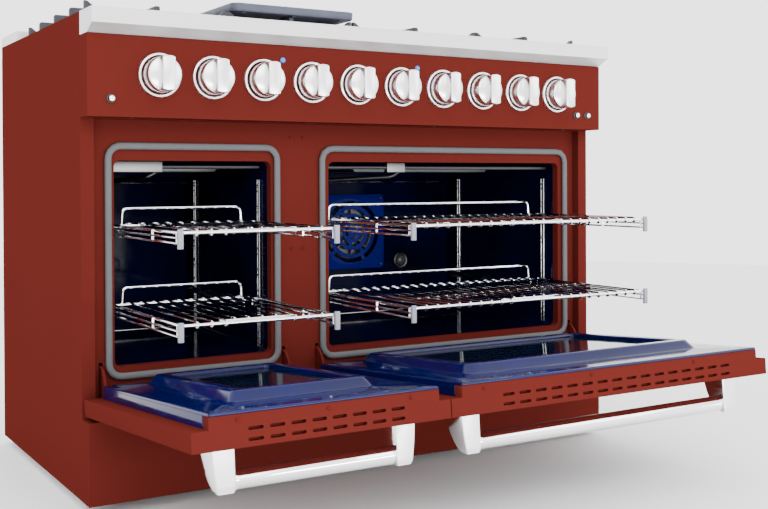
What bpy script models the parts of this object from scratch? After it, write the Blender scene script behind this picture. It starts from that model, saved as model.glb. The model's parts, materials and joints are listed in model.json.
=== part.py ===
"""Freestanding gas range, 48 inches wide, with two ovens side by side.

Metres, +Z up, -Y is the front.  X is measured from the middle of the range, Y from the front plane of
its body and Z from the floor.  The whole model hangs on one empty, which moves the origin to the middle
of the footprint that the range has with both oven doors open.
"""
import math

import bmesh
import bpy
from mathutils import Vector

# ---------------------------------------------------------------- overall sizes
WIDTH = 1.219
HALF = WIDTH / 2
BODY_DEPTH = 0.628
FOOTPRINT_SHIFT = -0.0495

FOOT_HEIGHT = 0.018
KICK_TOP = 0.169
PANEL_BOTTOM = 0.721
PANEL_TOP = 0.870
TRIM_BOTTOM = 0.871
TRIM_BEVEL = 0.886
TOP_HEIGHT = 0.914

SHEET = 0.0015
GAP = 0.0003

PILLAR = 0.025
FRAME_Y = 0.020
COLLAR_DEPTH = 0.018
KICK_Y = -0.043
PANEL_Y = -0.0455
TRIM_Y = -0.076
BACK_PANEL_Y = BODY_DEPTH - SHEET
TOP_DEPTH = 0.478
REAR_DECK_HEIGHT = 0.935

# ---------------------------------------------------------------- ovens
# All along X: the centre and half width of the mouth, how far the seal reaches past it, the left and
# right edges of the door, and the two hinge arms.
OVENS = {
    "left": {"centre": -0.3795, "half": 0.162, "seal": 0.019, "door": (-0.6065, -0.158),
             "arms": (-0.5685, -0.1905)},
    "right": {"centre": 0.2265, "half": 0.311, "seal": 0.024, "door": (-0.1565, 0.6075),
              "arms": (-0.114, 0.571)},
}
CAVITY_BOTTOM = 0.256
CAVITY_TOP = 0.643
CAVITY_BACK = 0.485
CAVITY_RADIUS = 0.012
GASKET_BOTTOM = 0.231
GASKET_TOP = 0.677
GASKET_HALF_WIDTH = 0.006
GASKET_HALF_DEPTH = 0.0047
GASKET_RADIUS = 0.024

# ---------------------------------------------------------------- doors, as they hang when closed
# "rise" is the height above the door's lower edge, "inward" the distance from its outer face
OPEN_ANGLE = math.radians(85.6)
HINGE_Y = -0.0153
HINGE_Z = 0.2056
HINGE_RISE = 0.0126
HINGE_INWARD = 0.0297
DOOR_HEIGHT = 0.5255
PAN_DEPTH = 0.031
TIP_DEPTH = 0.050
LINER_INWARD = 0.055
PLATEAU_INWARD = 0.0726
OUTER_INSET = 0.027
INNER_INSET = 0.022
LINER_RISE = 0.029
TIP_FLANGE = 0.0215
PLATEAU_SLOPE = 0.006
PLATEAU_RISE = (0.067, 0.443)
PLATEAU_FROM_EDGE = 0.0705
WINDOW_FRAME = 0.026
SLOT_HALF = 0.005
HINGE_NOTCH_RISE = 0.036
ARM_HALF = 0.0025
VENT_LENGTH = 0.025
VENT_HALF = 0.0026
VENT_PITCH = 0.0352
VENT_LEVELS = (0.011, 0.027)
VENT_COUNT = {"left": 8, "right": 16}
OUTER_WINDOW_RISE = (0.130, 0.385)

# ---------------------------------------------------------------- handles
BRACKET_FROM_EDGE = 0.046
BRACKET_WIDTH = 0.037
BAR_RISE = 0.469
BAR_OUT = 0.055
BAR_RADIUS = 0.015
BRACKET_PROFILE = (
    (0.487, GAP), (0.487, 0.064), (0.482, 0.071), (0.470, 0.0705),
    (0.455, 0.060), (0.444, 0.040), (0.438, 0.020), (0.435, GAP),
)

# ---------------------------------------------------------------- racks
RACK_LEVELS = {"upper": 0.521, "lower": 0.367}
RACK_FRONT = -0.282
RACK_BACK = 0.090
RACK_WIRE = 0.006
RACK_CAP = 0.009
RACK_CAP_DROP = 0.0295
RACK_INSET = 0.0105
RAIL_WIDTH = 0.004
RAIL_TOP = 0.009
RAIL_HEIGHT = 0.015
GUARD_HEIGHT = 0.030
GUARD_INSET = 0.035
GUARD_LEAN = 0.011
GUARD_RADIUS = 0.003

# ---------------------------------------------------------------- cooktop
# middle and width of each grate; every grate covers a front and a rear burner
COLUMNS = ((-0.4510, 0.283), (-0.1650, 0.282), (0.1410, 0.321), (0.4480, 0.288))
ROWS = (0.130, 0.355)
WELL_FLOOR = 0.8885
BURNER_HOLE_RADIUS = 0.022
WELL_MARGIN = 0.014
WELL_DEPTH = (0.024, 0.456)
GRATE_TOP = 0.940
GRATE_FRAME_TOP = 0.909
GRATE_BAR = 0.005
BURNER_CLEARANCE = 0.052
CORNER_RAMP = 0.046
GRATE_FRONT = 0.026
GRATE_BACK = 0.450
GRIDDLE_X = (-0.2985, -0.0175)
GRIDDLE_Y = (0.020, 0.440)
GRIDDLE_THICKNESS = 0.019

# ---------------------------------------------------------------- controls
KNOB_COUNT = 10
KNOB_PITCH = 0.10566
KNOB_Z = 0.7996
KNOB_RADIUS = 0.033
KNOB_BODY = 0.034
KNOB_REACH = 0.055
GRIP_HALF_WIDTH = 0.0125
GRIP_HALF_LENGTH = 0.0300
SHAFT_RADIUS = 0.004
INLET_X = 0.565
BUTTONS = {"oven_light_button_left": -0.5665, "oven_light_button_right": 0.5375, "fan_button": 0.5705}
BUTTON_Z = 0.7535
BUTTON_RADIUS = 0.0055
BUTTON_STEM = 0.0035

FAN_Z = 0.472
FAN_COVER_HALF = 0.096
FAN_COVER_FRONT = 0.463
FAN_COVER_CORNER = 0.012

COLOURS = {
    "red_paint": ((0.23, 0.035, 0.025), 0.35, 0.0),
    "stainless": ((0.72, 0.72, 0.72), 0.28, 1.0),
    "chrome": ((0.86, 0.86, 0.87), 0.10, 1.0),
    "blue_enamel": ((0.006, 0.015, 0.16), 0.15, 0.0),
    "galvanised": ((0.45, 0.46, 0.47), 0.45, 1.0),
    "grey_braid": ((0.23, 0.24, 0.25), 0.85, 0.0),
    "cast_iron": ((0.02, 0.02, 0.022), 0.55, 0.3),
    "cast_aluminium": ((0.18, 0.20, 0.25), 0.45, 0.8),
    "glass": ((0.02, 0.03, 0.05), 0.05, 0.0),
    "brass": ((0.55, 0.38, 0.14), 0.30, 1.0),
    "black_plastic": ((0.02, 0.02, 0.02), 0.50, 0.0),
}


# ================================================================ tools
def clear_scene():
    for item in list(bpy.data.objects):
        bpy.data.objects.remove(item, do_unlink=True)


def make_material(name):
    colour, roughness, metallic = COLOURS[name]
    material = bpy.data.materials.get(name) or bpy.data.materials.new(name)
    material.use_nodes = True
    shader = material.node_tree.nodes["Principled BSDF"]
    shader.inputs["Base Color"].default_value = (*colour, 1.0)
    shader.inputs["Roughness"].default_value = roughness
    shader.inputs["Metallic"].default_value = metallic
    return material


def add_prism(mesh, outline, axis, low, high):
    """Extrude a closed outline along an axis; its points are the other two coordinates, in X, Y, Z order."""
    def point(first, second, along):
        return {"x": (along, first, second), "y": (first, along, second), "z": (first, second, along)}[axis]

    near = [mesh.verts.new(point(a, b, low)) for a, b in outline]
    far = [mesh.verts.new(point(a, b, high)) for a, b in outline]
    mesh.faces.new(near)
    mesh.faces.new(far)
    for index in range(len(outline)):
        following = (index + 1) % len(outline)
        mesh.faces.new((near[index], near[following], far[following], far[index]))


def add_box(mesh, x, y, z):
    """A box between the low and high value given for each axis."""
    add_prism(mesh, ((x[0], y[0]), (x[1], y[0]), (x[1], y[1]), (x[0], y[1])), "z", z[0], z[1])


def circle(first, second, radius, sides):
    steps = [2 * math.pi * index / sides for index in range(sides)]
    return [(first + radius * math.cos(turn), second + radius * math.sin(turn)) for turn in steps]


def rounded_rectangle(first, second, radius, steps):
    """Outline between two low-high pairs, with round corners of the given radius."""
    corners = (
        (first[1] - radius, second[1] - radius, 0),
        (first[0] + radius, second[1] - radius, 1),
        (first[0] + radius, second[0] + radius, 2),
        (first[1] - radius, second[0] + radius, 3),
    )
    outline = []
    for a, b, quarter in corners:
        for step in range(steps + 1):
            turn = math.pi / 2 * (quarter + step / steps)
            outline.append((a + radius * math.cos(turn), b + radius * math.sin(turn)))
    return outline


def add_wire(mesh, points, radius, sides):
    """Sweep a round section along a path, with mitred corners."""
    path = [Vector(point) for point in points]
    legs = [(after - before).normalized() for before, after in zip(path, path[1:])]
    side = legs[0].orthogonal().normalized()
    rings = []
    for index, centre in enumerate(path):
        into = legs[max(index - 1, 0)]
        out = legs[min(index, len(legs) - 1)]
        facing = (into + out).normalized()
        across = into.cross(side).normalized()
        ring = []
        for step in range(sides):
            turn = 2 * math.pi * step / sides
            spoke = radius * (math.cos(turn) * side + math.sin(turn) * across)
            slide = -spoke.dot(facing) / into.dot(facing)
            ring.append(mesh.verts.new(centre + spoke + slide * into))
        rings.append(ring)
        side = (side - side.dot(out) * out).normalized()
    mesh.faces.new(rings[0])
    mesh.faces.new(rings[-1])
    for near, far in zip(rings, rings[1:]):
        for step in range(sides):
            following = (step + 1) % sides
            mesh.faces.new((near[step], near[following], far[following], far[step]))


def add_object(name, parent, draw):
    """Make an object whose mesh is drawn by draw(mesh), under the given empty."""
    mesh = bmesh.new()
    draw(mesh)
    bmesh.ops.recalc_face_normals(mesh, faces=mesh.faces)
    data = bpy.data.meshes.new(name)
    mesh.to_mesh(data)
    mesh.free()
    item = bpy.data.objects.new(name, data)
    bpy.context.scene.collection.objects.link(item)
    item.parent = parent
    return item


def make_part(name, parent, material, draw, joins=(), cuts=(), late_joins=()):
    """One sub-part: the drawn solid, with shapes joined to it, cut out of it, and joined after the cuts."""
    item = add_object(name, parent, draw)
    item.data.materials.append(make_material(material))
    for step, operation, shapes in (("join", "UNION", joins), ("cut", "DIFFERENCE", cuts),
                                    ("late", "UNION", late_joins)):
        for index, shape in enumerate(shapes):
            tool = add_object(f"{name}.{step}.{index}", parent, shape)
            tool.location = item.location
            tool.hide_render = True
            tool.display_type = "WIRE"
            modifier = item.modifiers.new(tool.name, "BOOLEAN")
            modifier.operation = operation
            modifier.object = tool
    return item


def shade_round(item):
    item.data.shade_smooth()
    item.data.set_sharp_from_angle(angle=math.radians(35))


def add_empty(name, location, parent=None, tilt=0.0):
    empty = bpy.data.objects.new(name, None)
    empty.empty_display_size = 0.05
    empty.location = location
    empty.rotation_euler = (tilt, 0.0, 0.0)
    empty.parent = parent
    bpy.context.scene.collection.objects.link(empty)
    return empty


# ================================================================ body panels
def side_panel(root, name, side):
    """Folded side wall: front pillar, wall and rear flange.  side is -1 for the left one."""
    rear = BACK_PANEL_Y - GAP
    outline = (
        (HALF, 0), (HALF - PILLAR, 0), (HALF - PILLAR, FRAME_Y - GAP),
        (HALF - PILLAR + SHEET, FRAME_Y - GAP), (HALF - PILLAR + SHEET, SHEET), (HALF - SHEET, SHEET),
        (HALF - SHEET, rear - SHEET), (HALF - 0.020, rear - SHEET), (HALF - 0.020, rear), (HALF, rear),
    )
    bottom = FOOT_HEIGHT + GAP
    top = TOP_HEIGHT - GAP
    make_part(name, root, "red_paint", lambda mesh: add_prism(
        mesh, [(side * x, y) for x, y in outline], "z", bottom, top))


def back_panel(root):
    inlet = circle(INLET_X, KNOB_Z, 0.014, 16)
    make_part(
        "back_panel", root, "galvanised",
        lambda mesh: add_box(mesh, (-HALF, HALF), (BACK_PANEL_Y, BODY_DEPTH), (FOOT_HEIGHT + GAP, 0.8877)),
        cuts=[lambda mesh: add_prism(mesh, inlet, "y", BACK_PANEL_Y - 0.01, BODY_DEPTH + 0.01)])


def base_pan(root, feet):
    """Shallow tray that carries the ovens and takes the four levelling feet."""
    x = HALF - SHEET - GAP
    front = FRAME_Y + GAP
    rear = BACK_PANEL_Y - SHEET - 2 * GAP
    floor = FOOT_HEIGHT + GAP
    rim = floor + 0.025

    def tray(mesh):
        add_box(mesh, (-x, x), (front, rear), (floor, rim))

    def hollow(mesh):
        add_box(mesh, (SHEET - x, x - SHEET), (front + SHEET, rear - SHEET), (floor + SHEET, rim + 0.01))

    def holes(mesh):
        for foot_x, foot_y in feet:
            add_prism(mesh, circle(foot_x, foot_y, 0.0055, 16), "z", 0.0, floor + 0.01)

    make_part("base_pan", root, "galvanised", tray, cuts=[hollow, holes])


def levelling_foot(root, index, x, y):
    def pad(mesh):
        add_prism(mesh, circle(x, y, 0.019, 20), "z", 0.0, 0.010)

    def stem(mesh):
        add_prism(mesh, circle(x, y, 0.005, 12), "z", 0.008, 0.040)

    shade_round(make_part(f"levelling_foot_{index}", root, "galvanised", pad, joins=[stem]))


def kick_panel(root):
    """Toe panel under the doors: front sheet, end returns, and a shelf back to the oven frame."""
    def block(mesh):
        add_box(mesh, (-HALF, HALF), (KICK_Y, -GAP), (FOOT_HEIGHT, KICK_TOP))

    def shelf(mesh):
        reach = HALF - PILLAR - GAP
        add_box(mesh, (-reach, reach), (-0.010, FRAME_Y + SHEET), (KICK_TOP - SHEET, KICK_TOP))

    def hollow(mesh):
        add_box(mesh, (SHEET - HALF, HALF - SHEET), (KICK_Y + SHEET, 0.010),
                (FOOT_HEIGHT + SHEET, KICK_TOP - SHEET))

    make_part("kick_panel", root, "red_paint", block, joins=[shelf], cuts=[hollow])


def knob_positions():
    return [KNOB_PITCH * (index - (KNOB_COUNT - 1) / 2) for index in range(KNOB_COUNT)]


def control_panel(root):
    """Box-shaped fascia, open at the back, drilled for the knob shafts and the push buttons."""
    def block(mesh):
        add_box(mesh, (-HALF, HALF), (PANEL_Y, -GAP), (PANEL_BOTTOM, PANEL_TOP))

    def hollow(mesh):
        add_box(mesh, (SHEET - HALF, HALF - SHEET), (PANEL_Y + SHEET, 0.010),
                (PANEL_BOTTOM + SHEET, PANEL_TOP - SHEET))

    def holes(mesh):
        for x in knob_positions():
            add_prism(mesh, circle(x, KNOB_Z, SHAFT_RADIUS + 0.001, 12), "y", PANEL_Y - 0.01, PANEL_Y + 0.01)
        for x in BUTTONS.values():
            hole = circle(x, BUTTON_Z, BUTTON_STEM + 0.0008, 12)
            add_prism(mesh, hole, "y", PANEL_Y - 0.01, PANEL_Y + 0.01)

    make_part("control_panel", root, "red_paint", block, cuts=[hollow, holes])


def front_trim(root):
    """Stainless nosing over the control panel, with a sloped underside, hollow and open at the back."""
    outline = ((-GAP, TRIM_BOTTOM), (PANEL_Y, TRIM_BOTTOM), (TRIM_Y, TRIM_BEVEL),
               (TRIM_Y, TOP_HEIGHT), (-GAP, TOP_HEIGHT))
    inside = ((0.010, TRIM_BOTTOM + SHEET), (PANEL_Y, TRIM_BOTTOM + SHEET),
              (TRIM_Y + SHEET, TRIM_BEVEL + 0.001),
              (TRIM_Y + SHEET, TOP_HEIGHT - SHEET), (0.010, TOP_HEIGHT - SHEET))
    make_part(
        "front_trim", root, "stainless", lambda mesh: add_prism(mesh, outline, "x", -HALF, HALF),
        cuts=[lambda mesh: add_prism(mesh, inside, "x", SHEET - HALF, HALF - SHEET)])


def cooktop(root):
    """Spill tray: a rim flush with the nosing round a sunken well that is open over each burner."""
    x = HALF - SHEET - GAP
    well_x = HALF - WELL_MARGIN
    well_y = WELL_DEPTH
    rim = (TOP_HEIGHT - GAP - SHEET, TOP_HEIGHT - GAP)

    def rim_plate(mesh):
        notch = HALF - PILLAR - GAP
        outline = ((-notch, SHEET + GAP), (notch, SHEET + GAP), (notch, FRAME_Y), (x, FRAME_Y),
                   (x, TOP_DEPTH - GAP), (-x, TOP_DEPTH - GAP), (-x, FRAME_Y), (-notch, FRAME_Y))
        add_prism(mesh, outline, "z", rim[0], rim[1])

    def well(mesh):
        add_box(mesh, (-well_x - SHEET, well_x + SHEET), (well_y[0] - SHEET, well_y[1] + SHEET),
                (WELL_FLOOR - SHEET, rim[1] - SHEET / 2))

    def hollow(mesh):
        add_box(mesh, (-well_x, well_x), well_y, (WELL_FLOOR, TOP_HEIGHT + 0.01))

    def holes(mesh):
        for burner_x, _ in COLUMNS:
            for burner_y in ROWS:
                hole = circle(burner_x, burner_y, BURNER_HOLE_RADIUS, 16)
                add_prism(mesh, hole, "z", WELL_FLOOR - 0.01, WELL_FLOOR + 0.01)

    make_part("cooktop", root, "stainless", rim_plate, joins=[well], cuts=[hollow, holes])


def rear_deck(root):
    """Low stainless hood at the back of the cooktop that lets the oven flues out."""
    low_x = HALF - SHEET - GAP

    def lower(mesh):
        add_box(mesh, (-low_x, low_x), (TOP_DEPTH, BACK_PANEL_Y - 0.002), (0.889, TOP_HEIGHT + 0.002))

    def cap(mesh):
        add_box(mesh, (-HALF, HALF), (TOP_DEPTH, BODY_DEPTH), (TOP_HEIGHT, REAR_DECK_HEIGHT))

    def hollow(mesh):
        add_box(mesh, (SHEET - low_x, low_x - SHEET), (TOP_DEPTH + SHEET, BACK_PANEL_Y - 0.004),
                (0.880, REAR_DECK_HEIGHT - SHEET))

    def vents(mesh):
        for index in range(-9, 10):
            add_box(mesh, (0.060 * index - 0.022, 0.060 * index + 0.022), (0.575, 0.583),
                    (REAR_DECK_HEIGHT - 0.010, REAR_DECK_HEIGHT + 0.010))

    make_part("rear_deck", root, "stainless", lower, joins=[cap], cuts=[hollow, vents])


# ================================================================ ovens
def oven_span(oven, extra=0.0):
    return oven["centre"] - oven["half"] - extra, oven["centre"] + oven["half"] + extra


def front_frame(root):
    """Recessed face behind the doors, with a collar round each oven mouth and a slot for each hinge arm."""
    reach = HALF - PILLAR - GAP
    height = (CAVITY_BOTTOM, CAVITY_TOP)

    def plate(mesh):
        add_box(mesh, (-reach, reach), (FRAME_Y, FRAME_Y + SHEET), (KICK_TOP + GAP, PANEL_BOTTOM - GAP))

    def lip(mesh):
        add_box(mesh, (-reach, reach), (GAP, FRAME_Y + SHEET / 2),
                (PANEL_BOTTOM - 0.0013, PANEL_BOTTOM - GAP))

    def collars(mesh):
        wide = (height[0] - SHEET, height[1] + SHEET)
        for oven in OVENS.values():
            outline = rounded_rectangle(oven_span(oven, SHEET), wide, CAVITY_RADIUS + SHEET, 4)
            add_prism(mesh, outline, "y", FRAME_Y + SHEET / 2, FRAME_Y + COLLAR_DEPTH)

    def mouths(mesh):
        for oven in OVENS.values():
            outline = rounded_rectangle(oven_span(oven), height, CAVITY_RADIUS, 4)
            add_prism(mesh, outline, "y", FRAME_Y - 0.01, FRAME_Y + COLLAR_DEPTH + 0.01)

    def slots(mesh):
        for oven in OVENS.values():
            for x in oven["arms"]:
                add_box(mesh, (x - 0.0035, x + 0.0035), (FRAME_Y - 0.01, FRAME_Y + 0.01), (0.196, 0.266))

    make_part("front_frame", root, "red_paint", plate, joins=[lip, collars], cuts=[mouths, slots])


def oven_liner(root, side):
    """Enamelled oven box, open at the front where it meets the frame's collar."""
    oven = OVENS[side]
    front = FRAME_Y + COLLAR_DEPTH + GAP

    def shell(mesh):
        outline = rounded_rectangle(oven_span(oven, SHEET), (CAVITY_BOTTOM - SHEET, CAVITY_TOP + SHEET),
                                    CAVITY_RADIUS + SHEET, 4)
        add_prism(mesh, outline, "y", front, CAVITY_BACK + SHEET)

    def hollow(mesh):
        outline = rounded_rectangle(oven_span(oven), (CAVITY_BOTTOM, CAVITY_TOP), CAVITY_RADIUS, 4)
        add_prism(mesh, outline, "y", front - 0.01, CAVITY_BACK)

    def shaft_hole(mesh):
        add_prism(mesh, circle(oven["centre"], FAN_Z, 0.006, 16), "y", CAVITY_BACK - 0.01, CAVITY_BACK + 0.01)

    cuts = [hollow, shaft_hole] if side == "right" else [hollow]
    make_part(f"oven_liner_{side}", root, "blue_enamel", shell, cuts=cuts)


def door_gasket(root, side):
    """Braided seal round the oven mouth: an oval section swept round a rounded rectangle."""
    oven = OVENS[side]
    across = oven_span(oven, oven["seal"] - GASKET_HALF_WIDTH)
    height = (GASKET_BOTTOM + GASKET_HALF_WIDTH, GASKET_TOP - GASKET_HALF_WIDTH)
    y = FRAME_Y - GAP - GASKET_HALF_DEPTH
    sides = 8

    def ring(mesh):
        path = [Vector((x, 0, z)) for x, z in rounded_rectangle(across, height, GASKET_RADIUS, 5)]
        rings = []
        for index, centre in enumerate(path):
            along = (path[(index + 1) % len(path)] - path[index - 1]).normalized()
            outward = along.cross(Vector((0, 1, 0)))
            section = []
            for step in range(sides):
                turn = 2 * math.pi * step / sides
                offset = outward * GASKET_HALF_WIDTH * math.cos(turn)
                depth = y + GASKET_HALF_DEPTH * math.sin(turn)
                section.append(mesh.verts.new(centre + offset + Vector((0, depth, 0))))
            rings.append(section)
        for index, near in enumerate(rings):
            far = rings[(index + 1) % len(rings)]
            for step in range(sides):
                following = (step + 1) % sides
                mesh.faces.new((near[step], near[following], far[following], far[step]))

    shade_round(make_part(f"door_gasket_{side}", root, "grey_braid", ring))


def hinge_carrier(root, side):
    """Channel behind the frame's foot with both hinge arms, which reach out through the frame's slots."""
    arms = OVENS[side]["arms"]
    eye = 0.008
    profile = [(0.0300, 0.232), (0.0300, 0.206), (0.0215, 0.200), (0.000, 0.1985)]
    for step in range(7):
        turn = -math.pi / 2 - math.pi * 0.80 * step / 6
        profile.append((HINGE_Y + eye * math.cos(turn), HINGE_Z + eye * math.sin(turn)))
    profile += [(-0.0120, 0.224), (-0.0035, 0.242), (0.0080, 0.255), (0.0215, 0.260), (0.0300, 0.258)]

    def channel(mesh):
        add_box(mesh, (arms[0] - 0.015, arms[1] + 0.015), (0.0260, 0.0360), (0.202, 0.242))

    def plates(mesh):
        for x in arms:
            add_prism(mesh, profile, "x", x - ARM_HALF, x + ARM_HALF)

    make_part(f"hinge_carrier_{side}", root, "red_paint", channel, joins=[plates])


def rack_guides(root, side):
    """Wire ladders on both oven walls with a fixed slide rail at each level, tied by two cross rods."""
    oven = OVENS[side]
    post = oven["half"] - 0.0035
    rail = oven["half"] - 0.0075
    rows = (0.073, 0.423)
    rods = (0.268, 0.600)

    def ladder_rods(mesh):
        for z in rods:
            ends = (oven["centre"] - post - 0.0015, oven["centre"] + post + 0.0015)
            add_box(mesh, ends, (rows[1] - 0.002, rows[1] + 0.002), (z - 0.002, z + 0.002))

    def posts(mesh):
        thick = 0.0025
        for direction in (-1, 1):
            x = oven["centre"] + direction * post
            for y in rows:
                add_box(mesh, (x - thick, x + thick), (y - thick, y + thick),
                        (rods[0] - 0.004, rods[1] + 0.004))

    def rails(mesh):
        for direction in (-1, 1):
            x = oven["centre"] + direction * rail
            for level in RACK_LEVELS.values():
                add_box(mesh, (x - RAIL_WIDTH / 2, x + RAIL_WIDTH / 2), (0.050, 0.458),
                        (level - RAIL_TOP - RAIL_HEIGHT, level - RAIL_TOP))

    make_part(f"rack_guides_{side}", root, "chrome", ladder_rods, joins=[posts, rails])


def oven_rack(root, side, level_name):
    """Wire shelf with a raised guard at the back, on two sliding rails with an end cap each."""
    oven = OVENS[side]
    level = RACK_LEVELS[level_name]
    centre = oven["centre"]
    reach = oven["half"] - RACK_INSET
    slots = 5 if side == "left" else 10
    rows = 3
    bar = 0.007

    def plate(mesh):
        add_box(mesh, (centre - reach + 0.002, centre + reach - 0.002), (RACK_FRONT + 0.003, RACK_BACK),
                (level - RACK_WIRE, level))

    def holes(mesh):
        width = 2 * (reach - 0.002) - bar
        depth = RACK_BACK - RACK_FRONT - 0.003 - bar
        for column in range(slots):
            x = centre - width / 2 + width * column / slots + bar / 2
            for row in range(rows):
                y = RACK_FRONT + 0.003 + bar / 2 + depth * row / rows + bar / 2
                add_box(mesh, (x, x + width / slots - bar), (y, y + depth / rows - bar),
                        (level - 0.02, level + 0.02))

    def runners(mesh):
        for direction in (-1, 1):
            outer = centre + direction * reach
            x = sorted((outer, outer - direction * 0.0055))
            add_box(mesh, x, (RACK_FRONT + 0.003, RACK_BACK), (level - RAIL_TOP - RAIL_HEIGHT, level - 0.003))

    def caps(mesh):
        for direction in (-1, 1):
            outer = centre + direction * reach
            x = sorted((outer, outer - direction * RACK_CAP))
            add_box(mesh, x, (RACK_FRONT, RACK_FRONT + 0.006), (level - RACK_CAP_DROP, level + 0.0035))

    def guard(mesh):
        foot = reach - GUARD_INSET + 0.010
        y = RACK_BACK - GUARD_RADIUS
        top = level + GUARD_HEIGHT
        add_wire(mesh, ((centre - foot, y, level - 0.003), (centre - foot + GUARD_LEAN, y, top),
                        (centre + foot - GUARD_LEAN, y, top), (centre + foot, y, level - 0.003)),
                 GUARD_RADIUS, 8)

    make_part(f"oven_rack_{side}_{level_name}", root, "chrome", plate,
              joins=[runners, caps, guard], cuts=[holes])


def fan_cover(root):
    """Square enamelled cover over the convection fan, open at the back, slotted round its middle."""
    centre = OVENS["right"]["centre"]
    half = FAN_COVER_HALF

    def block(mesh):
        outline = rounded_rectangle((centre - half, centre + half), (FAN_Z - half, FAN_Z + half),
                                    FAN_COVER_CORNER, 3)
        add_prism(mesh, outline, "y", FAN_COVER_FRONT, CAVITY_BACK - GAP)

    def hollow(mesh):
        inner = half - SHEET
        outline = rounded_rectangle((centre - inner, centre + inner), (FAN_Z - inner, FAN_Z + inner),
                                    FAN_COVER_CORNER - SHEET, 3)
        add_prism(mesh, outline, "y", FAN_COVER_FRONT + SHEET, CAVITY_BACK + 0.01)

    def slots(mesh):
        for index in range(-3, 4):
            reach = 0.060 - 0.004 * abs(index) ** 1.5
            add_box(mesh, (centre - reach, centre + reach), (FAN_COVER_FRONT - 0.01, FAN_COVER_FRONT + 0.004),
                    (FAN_Z + 0.016 * index - 0.003, FAN_Z + 0.016 * index + 0.003))

    make_part("fan_cover", root, "blue_enamel", block, cuts=[hollow, slots])


def fan_wheel(root):
    """Convection fan on its shaft, which passes through the oven's back wall."""
    origin = add_empty("fan_axis", (OVENS["right"]["centre"], 0.0, FAN_Z), root)

    def disc(mesh):
        add_prism(mesh, circle(0, 0, 0.070, 24), "y", 0.4790, 0.4805)

    def hub(mesh):
        add_prism(mesh, circle(0, 0, 0.012, 12), "y", 0.4665, 0.4800)

    def shaft(mesh):
        add_prism(mesh, circle(0, 0, SHAFT_RADIUS, 12), "y", 0.4700, 0.4950)

    def blades(mesh):
        for index in range(8):
            turn = 2 * math.pi * index / 8
            along = Vector((math.cos(turn), math.sin(turn)))
            across = Vector((-along.y, along.x)) * 0.0012
            root_end, tip_end = along * 0.030, along * 0.068
            corners = (root_end + across, tip_end + across, tip_end - across, root_end - across)
            add_prism(mesh, [(corner.x, corner.y) for corner in corners], "y", 0.4680, 0.4795)

    make_part("fan_wheel", origin, "galvanised", disc, joins=[hub, shaft, blades])


def fan_motor(root):
    def can(mesh):
        add_prism(mesh, circle(OVENS["right"]["centre"], FAN_Z, 0.040, 24), "y", 0.4960, 0.5500)

    shade_round(make_part("fan_motor", root, "galvanised", can))


# ================================================================ doors
def door_box(mesh, x, inward, rise):
    """A box in the door's own terms, drawn about its hinge axis."""
    add_box(mesh, x, (inward[0] - HINGE_INWARD, inward[1] - HINGE_INWARD),
            (rise[0] - HINGE_RISE, rise[1] - HINGE_RISE))


def liner_edges(side):
    low, high = OVENS[side]["door"]
    if side == "left":
        return low + OUTER_INSET, high - INNER_INSET
    return low + INNER_INSET, high - OUTER_INSET


def plateau_edges(side):
    low, high = liner_edges(side)
    return low + PLATEAU_FROM_EDGE, high - PLATEAU_FROM_EDGE


def window_edges(side):
    low, high = plateau_edges(side)
    margin = PLATEAU_SLOPE + WINDOW_FRAME
    return (low + margin, high - margin), (PLATEAU_RISE[0] + margin, PLATEAU_RISE[1] - margin)


def door_slots(side, inward, rise):
    def slots(mesh):
        for x in OVENS[side]["arms"]:
            door_box(mesh, (x - SLOT_HALF, x + SLOT_HALF), inward, rise)
    return slots


def door_skin(hinge, side):
    """Painted outer pan of a door, with its vented top edge, window cut-out and hinge notches."""
    low, high = OVENS[side]["door"]
    liner_low, liner_high = liner_edges(side)
    middle = (low + high) / 2

    def pan(mesh):
        door_box(mesh, (low, high), (0, PAN_DEPTH), (0, DOOR_HEIGHT))

    def tip(mesh):
        door_box(mesh, (liner_low, liner_high), (PAN_DEPTH / 2, TIP_DEPTH),
                 (DOOR_HEIGHT - TIP_FLANGE, DOOR_HEIGHT))

    def pan_hollow(mesh):
        door_box(mesh, (low + SHEET, high - SHEET), (SHEET, PAN_DEPTH - SHEET), (SHEET, DOOR_HEIGHT - SHEET))

    def liner_hollow(mesh):
        door_box(mesh, (liner_low + SHEET, liner_high - SHEET), (PAN_DEPTH / 2, TIP_DEPTH - SHEET),
                 (LINER_RISE, DOOR_HEIGHT - SHEET))

    def window(mesh):
        (x_low, x_high), _ = window_edges(side)
        door_box(mesh, (x_low, x_high), (-0.01, PAN_DEPTH / 2), OUTER_WINDOW_RISE)

    def vents(mesh):
        count = VENT_COUNT[side]
        for index in range(count):
            x = middle + VENT_PITCH * (index - (count - 1) / 2)
            for level in VENT_LEVELS:
                door_box(mesh, (x - VENT_LENGTH / 2, x + VENT_LENGTH / 2),
                         (level - VENT_HALF, level + VENT_HALF), (DOOR_HEIGHT - 0.005, DOOR_HEIGHT + 0.005))

    notches = door_slots(side, (0.0190, 0.060), (-0.010, HINGE_NOTCH_RISE))
    make_part(f"door_skin_{side}", hinge, "red_paint", pan, joins=[tip],
              cuts=[pan_hollow, liner_hollow, window, vents, notches])


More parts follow.
